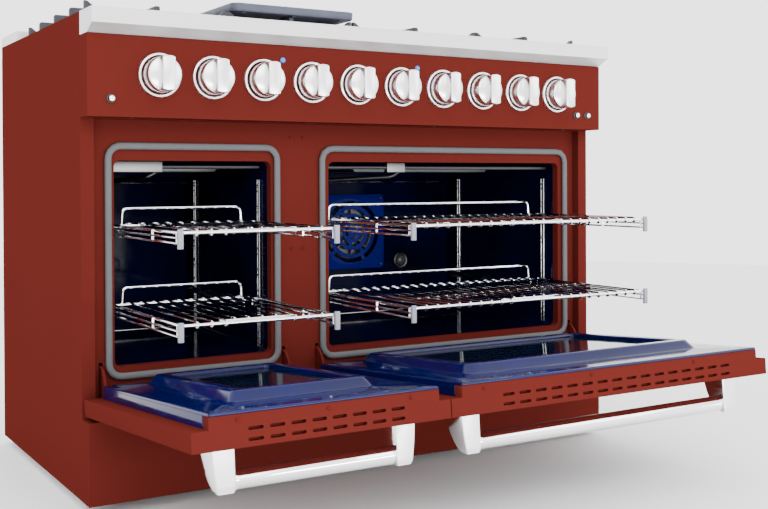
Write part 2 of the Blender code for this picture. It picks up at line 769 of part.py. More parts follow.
def door_liner(hinge, side):
    """Blue enamelled inner pan with the raised, sloped frame round the window."""
    low, high = liner_edges(side)
    plateau_x = plateau_edges(side)
    window_x, window_rise = window_edges(side)
    pan_end = DOOR_HEIGHT - TIP_FLANGE - GAP

    def frustum(mesh, x, rise, inward, grow):
        base = (inward[0] - HINGE_INWARD, x[0], x[1], rise[0], rise[1])
        crown = (inward[1] - HINGE_INWARD, x[0] + grow, x[1] - grow, rise[0] + grow, rise[1] - grow)
        levels = []
        for y, x_low, x_high, rise_low, rise_high in (base, crown):
            corners = ((x_low, rise_low), (x_high, rise_low), (x_high, rise_high), (x_low, rise_high))
            levels.append([mesh.verts.new((a, y, b - HINGE_RISE)) for a, b in corners])
        mesh.faces.new(levels[0])
        mesh.faces.new(levels[1])
        for index in range(4):
            following = (index + 1) % 4
            mesh.faces.new((levels[0][index], levels[0][following], levels[1][following], levels[1][index]))

    def pan(mesh):
        door_box(mesh, (low, high), (PAN_DEPTH + GAP, LINER_INWARD), (LINER_RISE, pan_end))

    def lip(mesh):
        door_box(mesh, (low, high), (TIP_DEPTH + GAP, LINER_INWARD), (pan_end - 0.010, DOOR_HEIGHT))

    def plateau(mesh):
        frustum(mesh, plateau_x, PLATEAU_RISE, (LINER_INWARD - 0.001, PLATEAU_INWARD), PLATEAU_SLOPE)

    def pan_hollow(mesh):
        door_box(mesh, (low + SHEET, high - SHEET), (0.0, LINER_INWARD - SHEET),
                 (LINER_RISE + SHEET, pan_end - SHEET))

    def plateau_hollow(mesh):
        inside = (plateau_x[0] + 0.002, plateau_x[1] - 0.002)
        rise = (PLATEAU_RISE[0] + 0.002, PLATEAU_RISE[1] - 0.002)
        frustum(mesh, inside, rise, (LINER_INWARD - 0.010, PLATEAU_INWARD - SHEET), PLATEAU_SLOPE)

    def window(mesh):
        door_box(mesh, window_x, (PAN_DEPTH, PLATEAU_INWARD + 0.010), window_rise)

    notches = door_slots(side, (0.020, 0.070), (0.020, 0.085))
    make_part(f"door_liner_{side}", hinge, "blue_enamel", pan, joins=[lip, plateau],
              cuts=[pan_hollow, plateau_hollow, window, notches])


def door_glass(hinge, side):
    """Inner window pane, clamped under the raised frame."""
    window_x, window_rise = window_edges(side)
    margin = 0.012

    def pane(mesh):
        door_box(mesh, (window_x[0] - margin, window_x[1] + margin), (0.0600, 0.0650),
                 (window_rise[0] - margin, window_rise[1] + margin))

    make_part(f"door_glass_{side}", hinge, "glass", pane)


def door_handle(hinge, side):
    """Round bar between two curved brackets on the outer face of the door."""
    low, high = OVENS[side]["door"]
    ends = (low + BRACKET_FROM_EDGE, high - BRACKET_FROM_EDGE)
    profile = [(-out - HINGE_INWARD, rise - HINGE_RISE) for rise, out in BRACKET_PROFILE]

    def bar(mesh):
        outline = circle(-BAR_OUT - HINGE_INWARD, BAR_RISE - HINGE_RISE, BAR_RADIUS, 20)
        add_prism(mesh, outline, "x", ends[0] + 0.010, ends[1] - 0.010)

    def brackets(mesh):
        add_prism(mesh, profile, "x", ends[0], ends[0] + BRACKET_WIDTH)
        add_prism(mesh, profile, "x", ends[1] - BRACKET_WIDTH, ends[1])

    shade_round(make_part(f"door_handle_{side}", hinge, "chrome", bar, joins=[brackets]))


# ================================================================ gas and cooking parts
def gas_manifold(root):
    """Supply pipe with one valve behind each knob, and the inlet pipe to the back of the range."""
    pipe = 0.011
    y = 0.012

    def supply(mesh):
        corners = ((-0.520, y, KNOB_Z), (INLET_X, y, KNOB_Z), (INLET_X, BACK_PANEL_Y + 0.0005, KNOB_Z))
        add_wire(mesh, corners, pipe, 10)

    def valves(mesh):
        for x in knob_positions():
            add_box(mesh, (x - 0.012, x + 0.012), (-0.020, y), (KNOB_Z - 0.009, KNOB_Z + 0.009))

    make_part("gas_manifold", root, "brass", supply, joins=[valves])


def burner_pair(root, index, x):
    """Front and rear burner of one column on their shared gas tube under the spill tray."""
    def tube(mesh):
        add_box(mesh, (x - 0.009, x + 0.009), (0.045, 0.400), (0.866, 0.880))

    def risers(mesh):
        for y in ROWS:
            add_prism(mesh, circle(x, y, 0.018, 16), "z", 0.878, 0.893)

    def heads(mesh):
        for y in ROWS:
            add_prism(mesh, circle(x, y, 0.043, 20), "z", 0.8895, 0.904)

    def lids(mesh):
        for y in ROWS:
            add_prism(mesh, circle(x, y, 0.034, 20), "z", 0.903, 0.911)

    shade_round(make_part(f"burner_pair_{index}", root, "brass", tube, joins=[risers, heads, lids]))


def grate(root, index, x, span):
    """Cast-iron grate: a low frame in the well, bars that carry pans, and ramps at its front corners."""
    edge = 0.012
    low = WELL_FLOOR + GAP
    width = (x - span / 2, x + span / 2)
    middle = (GRATE_FRONT + GRATE_BACK) / 2

    def frame(mesh):
        add_box(mesh, width, (GRATE_FRONT, GRATE_BACK), (low, GRATE_FRAME_TOP))

    def hollow(mesh):
        for y in ((GRATE_FRONT + edge, middle - edge / 2), (middle + edge / 2, GRATE_BACK - edge)):
            add_box(mesh, (width[0] + edge, width[1] - edge), y, (low - 0.01, GRATE_TOP + 0.01))

    def bars(mesh):
        height = (GRATE_FRAME_TOP - 0.009, GRATE_TOP)
        add_box(mesh, width, (middle - GRATE_BAR, middle + GRATE_BAR), height)
        for row in ROWS:
            for start, end in ((width[0], x - BURNER_CLEARANCE), (x + BURNER_CLEARANCE, width[1])):
                add_box(mesh, (start, end), (row - GRATE_BAR, row + GRATE_BAR), height)
        for start, end in ((GRATE_FRONT, ROWS[0] - BURNER_CLEARANCE), (ROWS[1] + BURNER_CLEARANCE, GRATE_BACK)):
            add_box(mesh, (x - GRATE_BAR, x + GRATE_BAR), (start, end), height)

    def ramps(mesh):
        foot = GRATE_FRAME_TOP - 0.005
        for corner, inward in ((width[0], 1), (width[1], -1)):
            outline = ((corner, foot), (corner, GRATE_TOP), (corner + inward * CORNER_RAMP, foot))
            add_prism(mesh, outline, "y", GRATE_FRONT, GRATE_FRONT + 2 * GRATE_BAR)

    make_part(f"grate_{index}", root, "cast_iron", frame, cuts=[hollow], late_joins=[bars, ramps])


def griddle_plate(root):
    """Cast griddle laid over one grate: a flat plate with a raised rim and a drip channel."""
    low = GRATE_TOP + GAP
    top = low + GRIDDLE_THICKNESS
    rim = 0.010

    def slab(mesh):
        outline = rounded_rectangle(GRIDDLE_X, GRIDDLE_Y, 0.014, 3)
        add_prism(mesh, outline, "z", low, top)

    def recess(mesh):
        outline = rounded_rectangle((GRIDDLE_X[0] + rim, GRIDDLE_X[1] - rim),
                                    (GRIDDLE_Y[0] + rim, GRIDDLE_Y[1] - rim),
                                    0.010, 3)
        add_prism(mesh, outline, "z", top - 0.010, top + 0.010)

    make_part("griddle_plate", root, "cast_aluminium", slab, cuts=[recess])


def control_knob(root, index, x):
    """Round knob with a grip bar across its face, on the shaft that turns the valve."""
    origin = add_empty(f"knob_axis_{index}", (x, 0.0, KNOB_Z), root)

    def body(mesh):
        add_prism(mesh, circle(0, 0, KNOB_RADIUS, 24), "y", PANEL_Y - KNOB_BODY, PANEL_Y - 0.0015)

    def grip(mesh):
        add_box(mesh, (-GRIP_HALF_WIDTH, GRIP_HALF_WIDTH), (PANEL_Y - KNOB_REACH, PANEL_Y - KNOB_BODY + 0.002),
                (-GRIP_HALF_LENGTH, GRIP_HALF_LENGTH))

    def shaft(mesh):
        add_prism(mesh, circle(0, 0, SHAFT_RADIUS, 12), "y", PANEL_Y - 0.005, -0.0205)

    shade_round(make_part(f"knob_{index}", origin, "chrome", body, joins=[grip, shaft]))


def push_button(root, name, x):
    """Small push button; its stem runs through the fascia."""
    origin = add_empty(f"{name}_axis", (x, 0.0, BUTTON_Z), root)

    def head(mesh):
        add_prism(mesh, circle(0, 0, BUTTON_RADIUS, 16), "y", PANEL_Y - 0.0080, PANEL_Y - 0.0032)

    def stem(mesh):
        add_prism(mesh, circle(0, 0, BUTTON_STEM, 12), "y", PANEL_Y - 0.0040, -0.0300)

    shade_round(make_part(name, origin, "chrome", head, joins=[stem]))


# ================================================================ assembly
def build():
    clear_scene()
    root = add_empty("range_frame", (0.0, FOOTPRINT_SHIFT, 0.0))

    feet = [(x, y) for y in (0.035, 0.580) for x in (-0.560, 0.560)]
    base_pan(root, feet)
    for index, (x, y) in enumerate(feet, 1):
        levelling_foot(root, index, x, y)
    side_panel(root, "side_panel_left", -1)
    side_panel(root, "side_panel_right", 1)
    back_panel(root)
    front_frame(root)
    kick_panel(root)
    control_panel(root)
    front_trim(root)
    cooktop(root)
    rear_deck(root)

    gas_manifold(root)
    for index, (x, span) in enumerate(COLUMNS, 1):
        burner_pair(root, index, x)
        grate(root, index, x, span)
    griddle_plate(root)
    for index, x in enumerate(knob_positions(), 1):
        control_knob(root, index, x)
    for name, x in BUTTONS.items():
        push_button(root, name, x)

    for side in OVENS:
        oven_liner(root, side)
        door_gasket(root, side)
        hinge_carrier(root, side)
        rack_guides(root, side)
        for level_name in RACK_LEVELS:
            oven_rack(root, side, level_name)
        hinge = add_empty(f"door_hinge_{side}", (0.0, HINGE_Y, HINGE_Z), root, tilt=OPEN_ANGLE)
        door_skin(hinge, side)
        door_liner(hinge, side)
        door_glass(hinge, side)
        door_handle(hinge, side)
    fan_cover(root)
    fan_wheel(root)
    fan_motor(root)


build()
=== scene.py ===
"""Finished look of a 48 inch freestanding gas range with two ovens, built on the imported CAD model.

Metres, +Z up, -Y is the front.  Every piece is drawn in the range's own terms (x from the middle, y from
the front plane of the body, z from the floor) or in a door's terms (x, inward from its outer face, rise
from its lower edge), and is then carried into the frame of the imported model.
"""
import json
import math

import bmesh
import bpy
from mathutils import Matrix, Vector


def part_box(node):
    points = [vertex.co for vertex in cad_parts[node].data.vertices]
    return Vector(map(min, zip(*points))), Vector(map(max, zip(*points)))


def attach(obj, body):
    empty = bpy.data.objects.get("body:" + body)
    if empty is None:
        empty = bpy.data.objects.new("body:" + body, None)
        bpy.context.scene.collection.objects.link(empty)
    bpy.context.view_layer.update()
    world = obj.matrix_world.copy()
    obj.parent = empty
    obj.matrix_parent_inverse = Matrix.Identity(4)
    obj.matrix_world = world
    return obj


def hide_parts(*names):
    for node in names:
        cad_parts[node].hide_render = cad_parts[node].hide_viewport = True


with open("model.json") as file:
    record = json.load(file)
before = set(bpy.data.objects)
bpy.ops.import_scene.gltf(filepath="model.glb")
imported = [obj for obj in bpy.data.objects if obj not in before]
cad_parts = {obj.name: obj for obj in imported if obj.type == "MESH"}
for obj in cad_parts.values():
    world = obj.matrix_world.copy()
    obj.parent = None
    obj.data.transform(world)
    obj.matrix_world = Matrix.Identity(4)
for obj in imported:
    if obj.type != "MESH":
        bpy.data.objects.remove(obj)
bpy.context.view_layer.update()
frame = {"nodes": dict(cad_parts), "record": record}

# ---------------------------------------------------------------- sizes shared with the CAD
BODY_SHIFT = -0.0495
PANEL_Y = -0.0455
FRAME_Y = 0.020
OPEN_ANGLE = math.radians(85.6)
HINGE = (-0.0153, 0.2056)
HINGE_RISE = 0.0126
HINGE_INWARD = 0.0297
DOOR_HEIGHT = 0.5255
DOOR_FOLD = 0.031
PLATEAU_INWARD = 0.0726

OVENS = {
    "left": {"centre": -0.3795, "half": 0.162, "seal": 0.019, "door": (-0.6065, -0.158),
             "liner": (-0.5795, -0.180), "arms": (-0.5685, -0.1905), "vents": 8, "corner": 0.012},
    "right": {"centre": 0.2265, "half": 0.311, "seal": 0.024, "door": (-0.1565, 0.6075),
              "liner": (-0.1345, 0.5805), "arms": (-0.114, 0.571), "vents": 16, "corner": 0.024},
}
KNOB_Z = 0.7996
KNOB_PITCH = 0.10566
KNOB_COUNT = 10
KNOB_X = [KNOB_PITCH * (index - (KNOB_COUNT - 1) / 2) for index in range(KNOB_COUNT)]
BUTTON_Z = 0.7535
BUTTONS = {"oven_light_button_left": -0.5665, "oven_light_button_right": 0.5375, "fan_button": 0.5705}
RACK_LEVELS = {"upper": 0.521, "lower": 0.367}
BURNER_ROWS = (0.130, 0.355)
SEAL_HEIGHT = 0.446
SEAL_MIDDLE_Z = 0.454

# ---------------------------------------------------------------- sizes of the finished pieces
KNOB_RADIUS = 0.0335
KNOB_REACH = 0.0550
GRIP_HALF_WIDTH = 0.0125
LENS_X = -0.2215
LENS_STEP = 0.317
LENS_Z = 0.841
PLATEAU_FROM_EDGE = 0.0705
WINDOW_FROM_PLATEAU = 0.032
DOOR_ROLL_RADIUS = 0.013
VENT_PITCH = 0.0352
VENT_LEVELS = (0.011, 0.027)
BAR_OUT = 0.055
BAR_RISE = 0.469
BRACKET_FROM_EDGE = 0.046
BRACKET_WIDTH = 0.037
SEAL_HALF_WIDTH = 0.0068
SEAL_HALF_DEPTH = 0.0047
WIRE_RACK_FRONT = -0.2785
WIRE_RACK_BACK = 0.087
RACK_BAR_RADIUS = 0.0031
RACK_WIRE_RADIUS = 0.0017
GRAB_GAP = 0.026
GUARD_HEIGHT = 0.030
OVEN_ROOF = 0.6425
FAN_MIDDLE_Z = 0.472
GRATE_HALF_BAR = 0.0050
GRATE_CLEARANCE = 0.040
RACK_WIRES = {"left": 10, "right": 22}
SHORT_WIRES = 4
LADDER_Y = (0.073, 0.423)
LADDER_ROWS = 8
LADDER_PITCH = 0.0432
ROD_RADIUS = 0.0020
BACK_WALL_Y = 0.4848
BROILER_SHARE = 0.62
BURNER_Z = 0.8892
FLAME_PORTS = 28
FLOOR_RADIUS = 6
SCREW_SPIN = 6.28


# ================================================================ geometry tools
def body_place(x=0.0, y=0.0, z=0.0):
    return Matrix.Translation((x, y + BODY_SHIFT, z))


def door_place():
    """Carries (x, inward, rise) of a door to its place on the open range."""
    drop = Matrix.Translation((0, -HINGE_INWARD, -HINGE_RISE))
    return body_place(0, *HINGE) @ Matrix.Rotation(OPEN_ANGLE, 4, "X") @ drop


def add_prism(mesh, outline, axis, low, high):
    """A closed outline pushed along an axis; its points are the other two coordinates in X, Y, Z order."""
    def point(first, second, along):
        return {"x": (along, first, second), "y": (first, along, second), "z": (first, second, along)}[axis]

    add_loft(mesh, [[point(a, b, along) for a, b in outline] for along in (low, high)])


def add_box(mesh, x, y, z):
    add_prism(mesh, ((x[0], y[0]), (x[1], y[0]), (x[1], y[1]), (x[0], y[1])), "z", z[0], z[1])


def rounded_outline(first, second, radius, steps):
    """Points of a rectangle between two low-high pairs, with its corners rounded."""
    corners = ((first[1] - radius, second[1] - radius), (first[0] + radius, second[1] - radius),
               (first[0] + radius, second[0] + radius), (first[1] - radius, second[0] + radius))
    outline = []
    for quarter, (a, b) in enumerate(corners):
        for step in range(steps + 1):
            turn = math.pi / 2 * (quarter + step / steps)
            outline.append((a + radius * math.cos(turn), b + radius * math.sin(turn)))
    return outline


def add_loft(mesh, rings, closed=False):
    """Skin stretched over rings that have the same number of points; a closed one joins its ends."""
    made = [[mesh.verts.new(point) for point in ring] for ring in rings]
    pairs = list(zip(made, made[1:]))
    if closed:
        pairs.append((made[-1], made[0]))
    else:
        mesh.faces.new(made[0])
        mesh.faces.new(made[-1])
    for near, far in pairs:
        for index in range(len(near)):
            following = (index + 1) % len(near)
            mesh.faces.new((near[index], near[following], far[following], far[index]))


def add_turned(mesh, profile, sides, closed=False):
    """A profile of (radius, distance out) turned about Y; distance out runs towards -Y."""
    rings = []
    for radius, out in profile:
        ring = []
        for step in range(sides):
            turn = 2 * math.pi * step / sides
            ring.append((radius * math.cos(turn), -out, radius * math.sin(turn)))
        rings.append(ring)
    add_loft(mesh, rings, closed)


def add_rod(mesh, points, radius, sides=10):
    """A round rod swept along points."""
    path = [Vector(point) for point in points]
    legs = [(after - before).normalized() for before, after in zip(path, path[1:])]
    side = legs[0].orthogonal().normalized()
    rings = []
    for index, centre in enumerate(path):
        into = legs[max(index - 1, 0)]
        out = legs[min(index, len(legs) - 1)]
        facing = (into + out).normalized()
        across = into.cross(side).normalized()
        ring = []
        for step in range(sides):
            turn = 2 * math.pi * step / sides
            spoke = radius * (math.cos(turn) * side + math.sin(turn) * across)
            ring.append(centre + spoke - spoke.dot(facing) / into.dot(facing) * into)
        rings.append(ring)
        side = (side - side.dot(out) * out).normalized()
    add_loft(mesh, rings)


def rounded_path(corners, radius, steps=6):
    """Points along a bent wire whose corners are rounded with a radius."""
    points = [Vector(corners[0])]
    for before, corner, after in zip(corners, corners[1:], corners[2:]):
        corner = Vector(corner)
        back = (Vector(before) - corner).normalized()
        ahead = (Vector(after) - corner).normalized()
        reach = min(radius / math.tan(back.angle(ahead) / 2), 0.45 * (Vector(before) - corner).length,
                    0.45 * (Vector(after) - corner).length)
        start, end = corner + back * reach, corner + ahead * reach
        for step in range(steps + 1):
            t = step / steps
            points.append(start * (1 - t) ** 2 + corner * 2 * t * (1 - t) + end * t ** 2)
    points.append(Vector(corners[-1]))
    return points


def shape(name, draw, place=None):
    """An object drawn by draw(mesh), carried to its place, with its faces turned outwards."""
    mesh = bmesh.new()
    draw(mesh)
    if place is not None:
        mesh.transform(place)
    bmesh.ops.recalc_face_normals(mesh, faces=mesh.faces)
    data = bpy.data.meshes.new(name)
    mesh.to_mesh(data)
    mesh.free()
    item = bpy.data.objects.new(name, data)
    bpy.context.scene.collection.objects.link(item)
    return item


def settle(item):
    """Replaces an object's modifiers with the plain mesh that they make."""
    graph = bpy.context.evaluated_depsgraph_get()
    data = bpy.data.meshes.new_from_object(item.evaluated_get(graph))
    item.modifiers.clear()
    item.data = data
    return item


def discard(*items):
    for item in items:
        bpy.data.objects.remove(item, do_unlink=True)


def soften(item, width, segments=2):
    """Rounds an object's hard edges."""
    bevel = item.modifiers.new("soft_edges", "BEVEL")
    bevel.width = width
    bevel.segments = segments
    bevel.limit_method = "ANGLE"
    bevel.angle_limit = math.radians(40)
    return settle(item)


def carve(item, *cutters):
    """Cuts shapes out of an object."""
    for cutter in cutters:
        cut = item.modifiers.new("cut", "BOOLEAN")
        cut.operation = "DIFFERENCE"
        cut.object = cutter
    settle(item)
    discard(*cutters)
    return item


def join(name, items):
    """One object from several whose places are already in their meshes."""
    mesh = bmesh.new()
    for item in items:
        mesh.from_mesh(item.data)
    data = bpy.data.meshes.new(name)
    mesh.to_mesh(data)
    mesh.free()
    result = bpy.data.objects.new(name, data)
    bpy.context.scene.collection.objects.link(result)
    discard(*items)
    return result


def fit(item, finish, body, stands_for=(), sharp=35):
    """Gives a piece its finish, smooth shading and the body that carries it."""
    if finish is not None:
        item.data.materials.clear()
        item.data.materials.append(finish)
        for face in item.data.polygons:
            face.material_index = 0
    item.data.shade_smooth()
    item.data.set_sharp_from_angle(angle=math.radians(sharp))
    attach(item, body)
    if stands_for:
        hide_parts(*stands_for)


# ================================================================ geometry node trees
def connect(tree, *links):
    """Joins sockets by name, each link given as (from node, output, to node, input)."""
    for source, output, target, entry in links:
        tree.links.new(source.outputs[output], target.inputs[entry])


def new_tree(name, inputs):
    """A geometry tree with a Geometry output, the given inputs, and its own input and output nodes."""
    tree = bpy.data.node_groups.new(name, "GeometryNodeTree")
    tree.interface.new_socket("Geometry", in_out="OUTPUT", socket_type="NodeSocketGeometry")
    for label, kind in inputs:
        tree.interface.new_socket(label, in_out="INPUT", socket_type=kind)
    return tree, tree.nodes.new("NodeGroupInput"), tree.nodes.new("NodeGroupOutput")


def finish_tree(tree, source, given, result):
    """Ends a tree: instances made real, faces given their finish."""
    real = tree.nodes.new("GeometryNodeRealizeInstances")
    paint = tree.nodes.new("GeometryNodeSetMaterial")
    tree.links.new(source, real.inputs["Geometry"])
    connect(tree, (real, "Geometry", paint, "Geometry"), (given, "Finish", paint, "Material"),
            (paint, "Geometry", result, "Geometry"))


def make_row_tree():
    """Copies of a part in a straight row: Count of them, the first at First, each Step from the last."""
    tree, given, result = new_tree("row_of_parts", (
        ("Part", "NodeSocketObject"), ("Count", "NodeSocketInt"), ("First", "NodeSocketVector"),
        ("Step", "NodeSocketVector"), ("Finish", "NodeSocketMaterial")))
    line = tree.nodes.new("GeometryNodeMeshLine")
    line.mode = "OFFSET"
    part = tree.nodes.new("GeometryNodeObjectInfo")
    place = tree.nodes.new("GeometryNodeInstanceOnPoints")
    connect(tree, (given, "Count", line, "Count"), (given, "First", line, "Start Location"),
            (given, "Step", line, "Offset"), (given, "Part", part, "Object"),
            (line, "Mesh", place, "Points"), (part, "Geometry", place, "Instance"))
    finish_tree(tree, place.outputs["Instances"], given, result)
    return tree


def make_fastener_tree():
    """A fastener on every point of the base mesh, each spun by its own fixed random angle about Spin Axis."""
    tree, given, result = new_tree("fasteners_on_points", (
        ("Points", "NodeSocketGeometry"), ("Fastener", "NodeSocketObject"), ("Spin Axis", "NodeSocketVector"),
        ("Finish", "NodeSocketMaterial")))
    part = tree.nodes.new("GeometryNodeObjectInfo")
    place = tree.nodes.new("GeometryNodeInstanceOnPoints")
    spin = tree.nodes.new("FunctionNodeRandomValue")
    spin.data_type = "FLOAT"
    spin.inputs[3].default_value = SCREW_SPIN
    spin.inputs["Seed"].default_value = 7
    turn = tree.nodes.new("FunctionNodeAxisAngleToRotation")
    connect(tree, (given, "Points", place, "Points"), (given, "Fastener", part, "Object"),
            (part, "Geometry", place, "Instance"), (given, "Spin Axis", turn, "Axis"))
    tree.links.new(spin.outputs[1], turn.inputs["Angle"])
    tree.links.new(turn.outputs["Rotation"], place.inputs["Rotation"])
    finish_tree(tree, place.outputs["Instances"], given, result)
    return tree


def make_seal_tree():
    """A round-cornered ring of oval section: the braided seal of an oven mouth, lying in the X-Y plane."""
    tree, given, result = new_tree("oven_seal", (
        ("Width", "NodeSocketFloat"), ("Height", "NodeSocketFloat"), ("Corner", "NodeSocketFloat"),
        ("Half Width", "NodeSocketFloat"), ("Half Depth", "NodeSocketFloat"),
        ("Finish", "NodeSocketMaterial")))
    frame_line = tree.nodes.new("GeometryNodeCurvePrimitiveQuadrilateral")
    fillet = tree.nodes.new("GeometryNodeFilletCurve")
    even = tree.nodes.new("GeometryNodeResampleCurve")
    even.inputs["Count"].default_value = 160
    section = tree.nodes.new("GeometryNodeCurvePrimitiveCircle")
    section.inputs["Resolution"].default_value = 14
    section.inputs["Radius"].default_value = 1.0
    flatten = tree.nodes.new("GeometryNodeTransform")
    scale = tree.nodes.new("ShaderNodeCombineXYZ")
    scale.inputs["Z"].default_value = 1.0
    sweep = tree.nodes.new("GeometryNodeCurveToMesh")
    fillet.mode = "POLY"
    fillet.inputs["Count"].default_value = 10
    connect(tree, (given, "Width", frame_line, "Width"), (given, "Height", frame_line, "Height"),
            (frame_line, "Curve", fillet, "Curve"), (given, "Corner", fillet, "Radius"),
            (fillet, "Curve", even, "Curve"), (given, "Half Width", scale, "X"),
            (given, "Half Depth", scale, "Y"), (section, "Curve", flatten, "Geometry"),
            (scale, "Vector", flatten, "Scale"), (even, "Curve", sweep, "Curve"),
            (flatten, "Geometry", sweep, "Profile Curve"))
    finish_tree(tree, sweep.outputs["Mesh"], given, result)
    return tree


ROW_TREE = make_row_tree()
FASTENER_TREE = make_fastener_tree()
SEAL_TREE = make_seal_tree()


def grow(item, tree, **values):
    """Runs a tree on an object with its inputs set by name, and keeps the plain mesh."""
    modifier = item.modifiers.new(tree.name, "NODES")
    modifier.node_group = tree
    for socket in tree.interface.items_tree:
        key = socket.name.replace(" ", "_").lower()
        if socket.in_out == "INPUT" and values.get(key) is not None:
            modifier[socket.identifier] = values[key]
    item.update_tag()
    return settle(item)


def row(name, part, count, first, step, finish):
    """A row of copies of a part, which is used up."""
    item = shape(name, lambda mesh: None)
    grow(item, ROW_TREE, part=part, count=count, first=first, step=step, finish=finish)
    discard(part)
    return item


def fasteners(name, points, part, axis, finish):
    item = shape(name, lambda mesh: [mesh.verts.new(point) for point in points])
    grow(item, FASTENER_TREE, fastener=part, spin_axis=axis, finish=finish)
    discard(part)
    return item


# ================================================================ finishes
def new_finish(name, colour, roughness, metallic=0.0, **extra):
    material = bpy.data.materials.new(name)
    material.use_nodes = True
    tree = material.node_tree
    shader = tree.nodes["Principled BSDF"]
    shader.inputs["Base Color"].default_value = (*colour, 1.0)
    shader.inputs["Roughness"].default_value = roughness
    shader.inputs["Metallic"].default_value = metallic
    for label, value in extra.items():
        shader.inputs[label.replace("_", " ")].default_value = value
    return material, tree, shader


def stretched(tree, scale):
    """Object coordinates stretched by a scale for each axis."""
    where = tree.nodes.new("ShaderNodeTexCoord")
    mapping = tree.nodes.new("ShaderNodeMapping")
    mapping.inputs["Scale"].default_value = scale
    tree.links.new(where.outputs["Object"], mapping.inputs["Vector"])
    return mapping.outputs["Vector"]


def noise(tree, scale, stretch=(1, 1, 1), detail=3.0):
    node = tree.nodes.new("ShaderNodeTexNoise")
    node.inputs["Scale"].default_value = scale
    node.inputs["Detail"].default_value = detail
    tree.links.new(stretched(tree, stretch), node.inputs["Vector"])
    return node.outputs["Fac"]


def vary(tree, value, low, high, start=0.35, end=0.65):
    node = tree.nodes.new("ShaderNodeMapRange")
    node.inputs["From Min"].default_value = start
    node.inputs["From Max"].default_value = end
    node.inputs["To Min"].default_value = low
    node.inputs["To Max"].default_value = high
    tree.links.new(value, node.inputs["Value"])
    return node.outputs["Result"]


def blend_colours(tree, value, first, second):
    node = tree.nodes.new("ShaderNodeValToRGB")
    node.color_ramp.elements[0].position = 0.35
    node.color_ramp.elements[0].color = (*first, 1.0)
    node.color_ramp.elements[1].position = 0.65
    node.color_ramp.elements[1].color = (*second, 1.0)
    tree.links.new(value, node.inputs["Fac"])
    return node.outputs["Color"]


def emboss(tree, shader, height, strength, distance):
    node = tree.nodes.new("ShaderNodeBump")
    node.inputs["Strength"].default_value = strength
    node.inputs["Distance"].default_value = distance
    tree.links.new(height, node.inputs["Height"])
    tree.links.new(node.outputs["Normal"], shader.inputs["Normal"])


def tint(tree, shader, value, first, second):
    """Lets a value blend the base colour from one colour to another."""
    tree.links.new(blend_colours(tree, value, first, second), shader.inputs["Base Color"])


def roughen(tree, shader, value, low, high, *span):
    """Lets a value move the roughness between two levels."""
    tree.links.new(vary(tree, value, low, high, *span), shader.inputs["Roughness"])


def satin_paint(name, colour, darker):
    """Powder-coated sheet: fine orange peel and a faint drift in colour."""
    material, tree, shader = new_finish(name, colour, 0.50, Specular_IOR_Level=0.0)
    tint(tree, shader, noise(tree, 3.0), darker, colour)
    roughen(tree, shader, noise(tree, 40.0), 0.48, 0.52)
    emboss(tree, shader, noise(tree, 900.0), 0.03, 0.0002)
    return material


def brushed_metal(name, colour, roughness, stretch, metallic=1.0):
    """Sheet steel with its brushing along one axis."""
    material, tree, shader = new_finish(name, colour, roughness, metallic)
    lines = noise(tree, 60.0, stretch, 6.0)
    roughen(tree, shader, lines, roughness - 0.06, roughness + 0.08)
    tint(tree, shader, lines, [0.94 * part for part in colour], colour)
    emboss(tree, shader, lines, 0.06, 0.0002)
    return material


def polished_metal(name, colour, roughness):
    """Plated metal with faint wipe marks."""
    material, tree, shader = new_finish(name, colour, roughness, 1.0)
    marks = noise(tree, 25.0, (1, 1, 6), 4.0)
    roughen(tree, shader, marks, roughness * 0.7, roughness * 1.4)
    return material


def glossy_enamel(name, colour, deep, speckle, shine):
    """Fired porcelain enamel: glassy, slightly wavy, with small pale flecks."""
    material, tree, shader = new_finish(name, colour, 0.12, Specular_IOR_Level=shine)
    flecks = tree.nodes.new("ShaderNodeTexVoronoi")
    flecks.inputs["Scale"].default_value = 260.0
    tree.links.new(stretched(tree, (1, 1, 1)), flecks.inputs["Vector"])
    dots = tree.nodes.new("ShaderNodeMapRange")
    dots.inputs["From Min"].default_value = 0.10
    dots.inputs["From Max"].default_value = 0.04
    tree.links.new(flecks.outputs["Distance"], dots.inputs["Value"])
    mix = tree.nodes.new("ShaderNodeMix")
    mix.data_type = "RGBA"
    mix.inputs[7].default_value = (*speckle, 1.0)
    tree.links.new(dots.outputs["Result"], mix.inputs[0])
    tree.links.new(blend_colours(tree, noise(tree, 6.0), deep, colour), mix.inputs[6])
    tree.links.new(mix.outputs[2], shader.inputs["Base Color"])
    roughen(tree, shader, noise(tree, 30.0), 0.06, 0.14)
    emboss(tree, shader, noise(tree, 120.0), 0.05, 0.0004)
    return material


def woven_braid(name, colour, darker):
    material, tree, shader = new_finish(name, colour, 0.75)
    weave = tree.nodes.new("ShaderNodeTexWave")
    weave.inputs["Scale"].default_value = 210.0
    weave.inputs["Distortion"].default_value = 1.5
    weave.bands_direction = "DIAGONAL"
    tree.links.new(stretched(tree, (1, 1, 1)), weave.inputs["Vector"])
    tint(tree, shader, weave.outputs["Fac"], darker, colour)
    emboss(tree, shader, weave.outputs["Fac"], 0.35, 0.0005)
    return material


def cast_metal(name, colour, darker, roughness, metallic):
    """Sand-cast surface with a fine grain."""
    material, tree, shader = new_finish(name, colour, roughness, metallic)
    grain = noise(tree, 350.0, detail=5.0)
    tint(tree, shader, noise(tree, 12.0), darker, colour)
    roughen(tree, shader, grain, roughness - 0.08, roughness + 0.1)
    emboss(tree, shader, grain, 0.25, 0.0006)
    return material


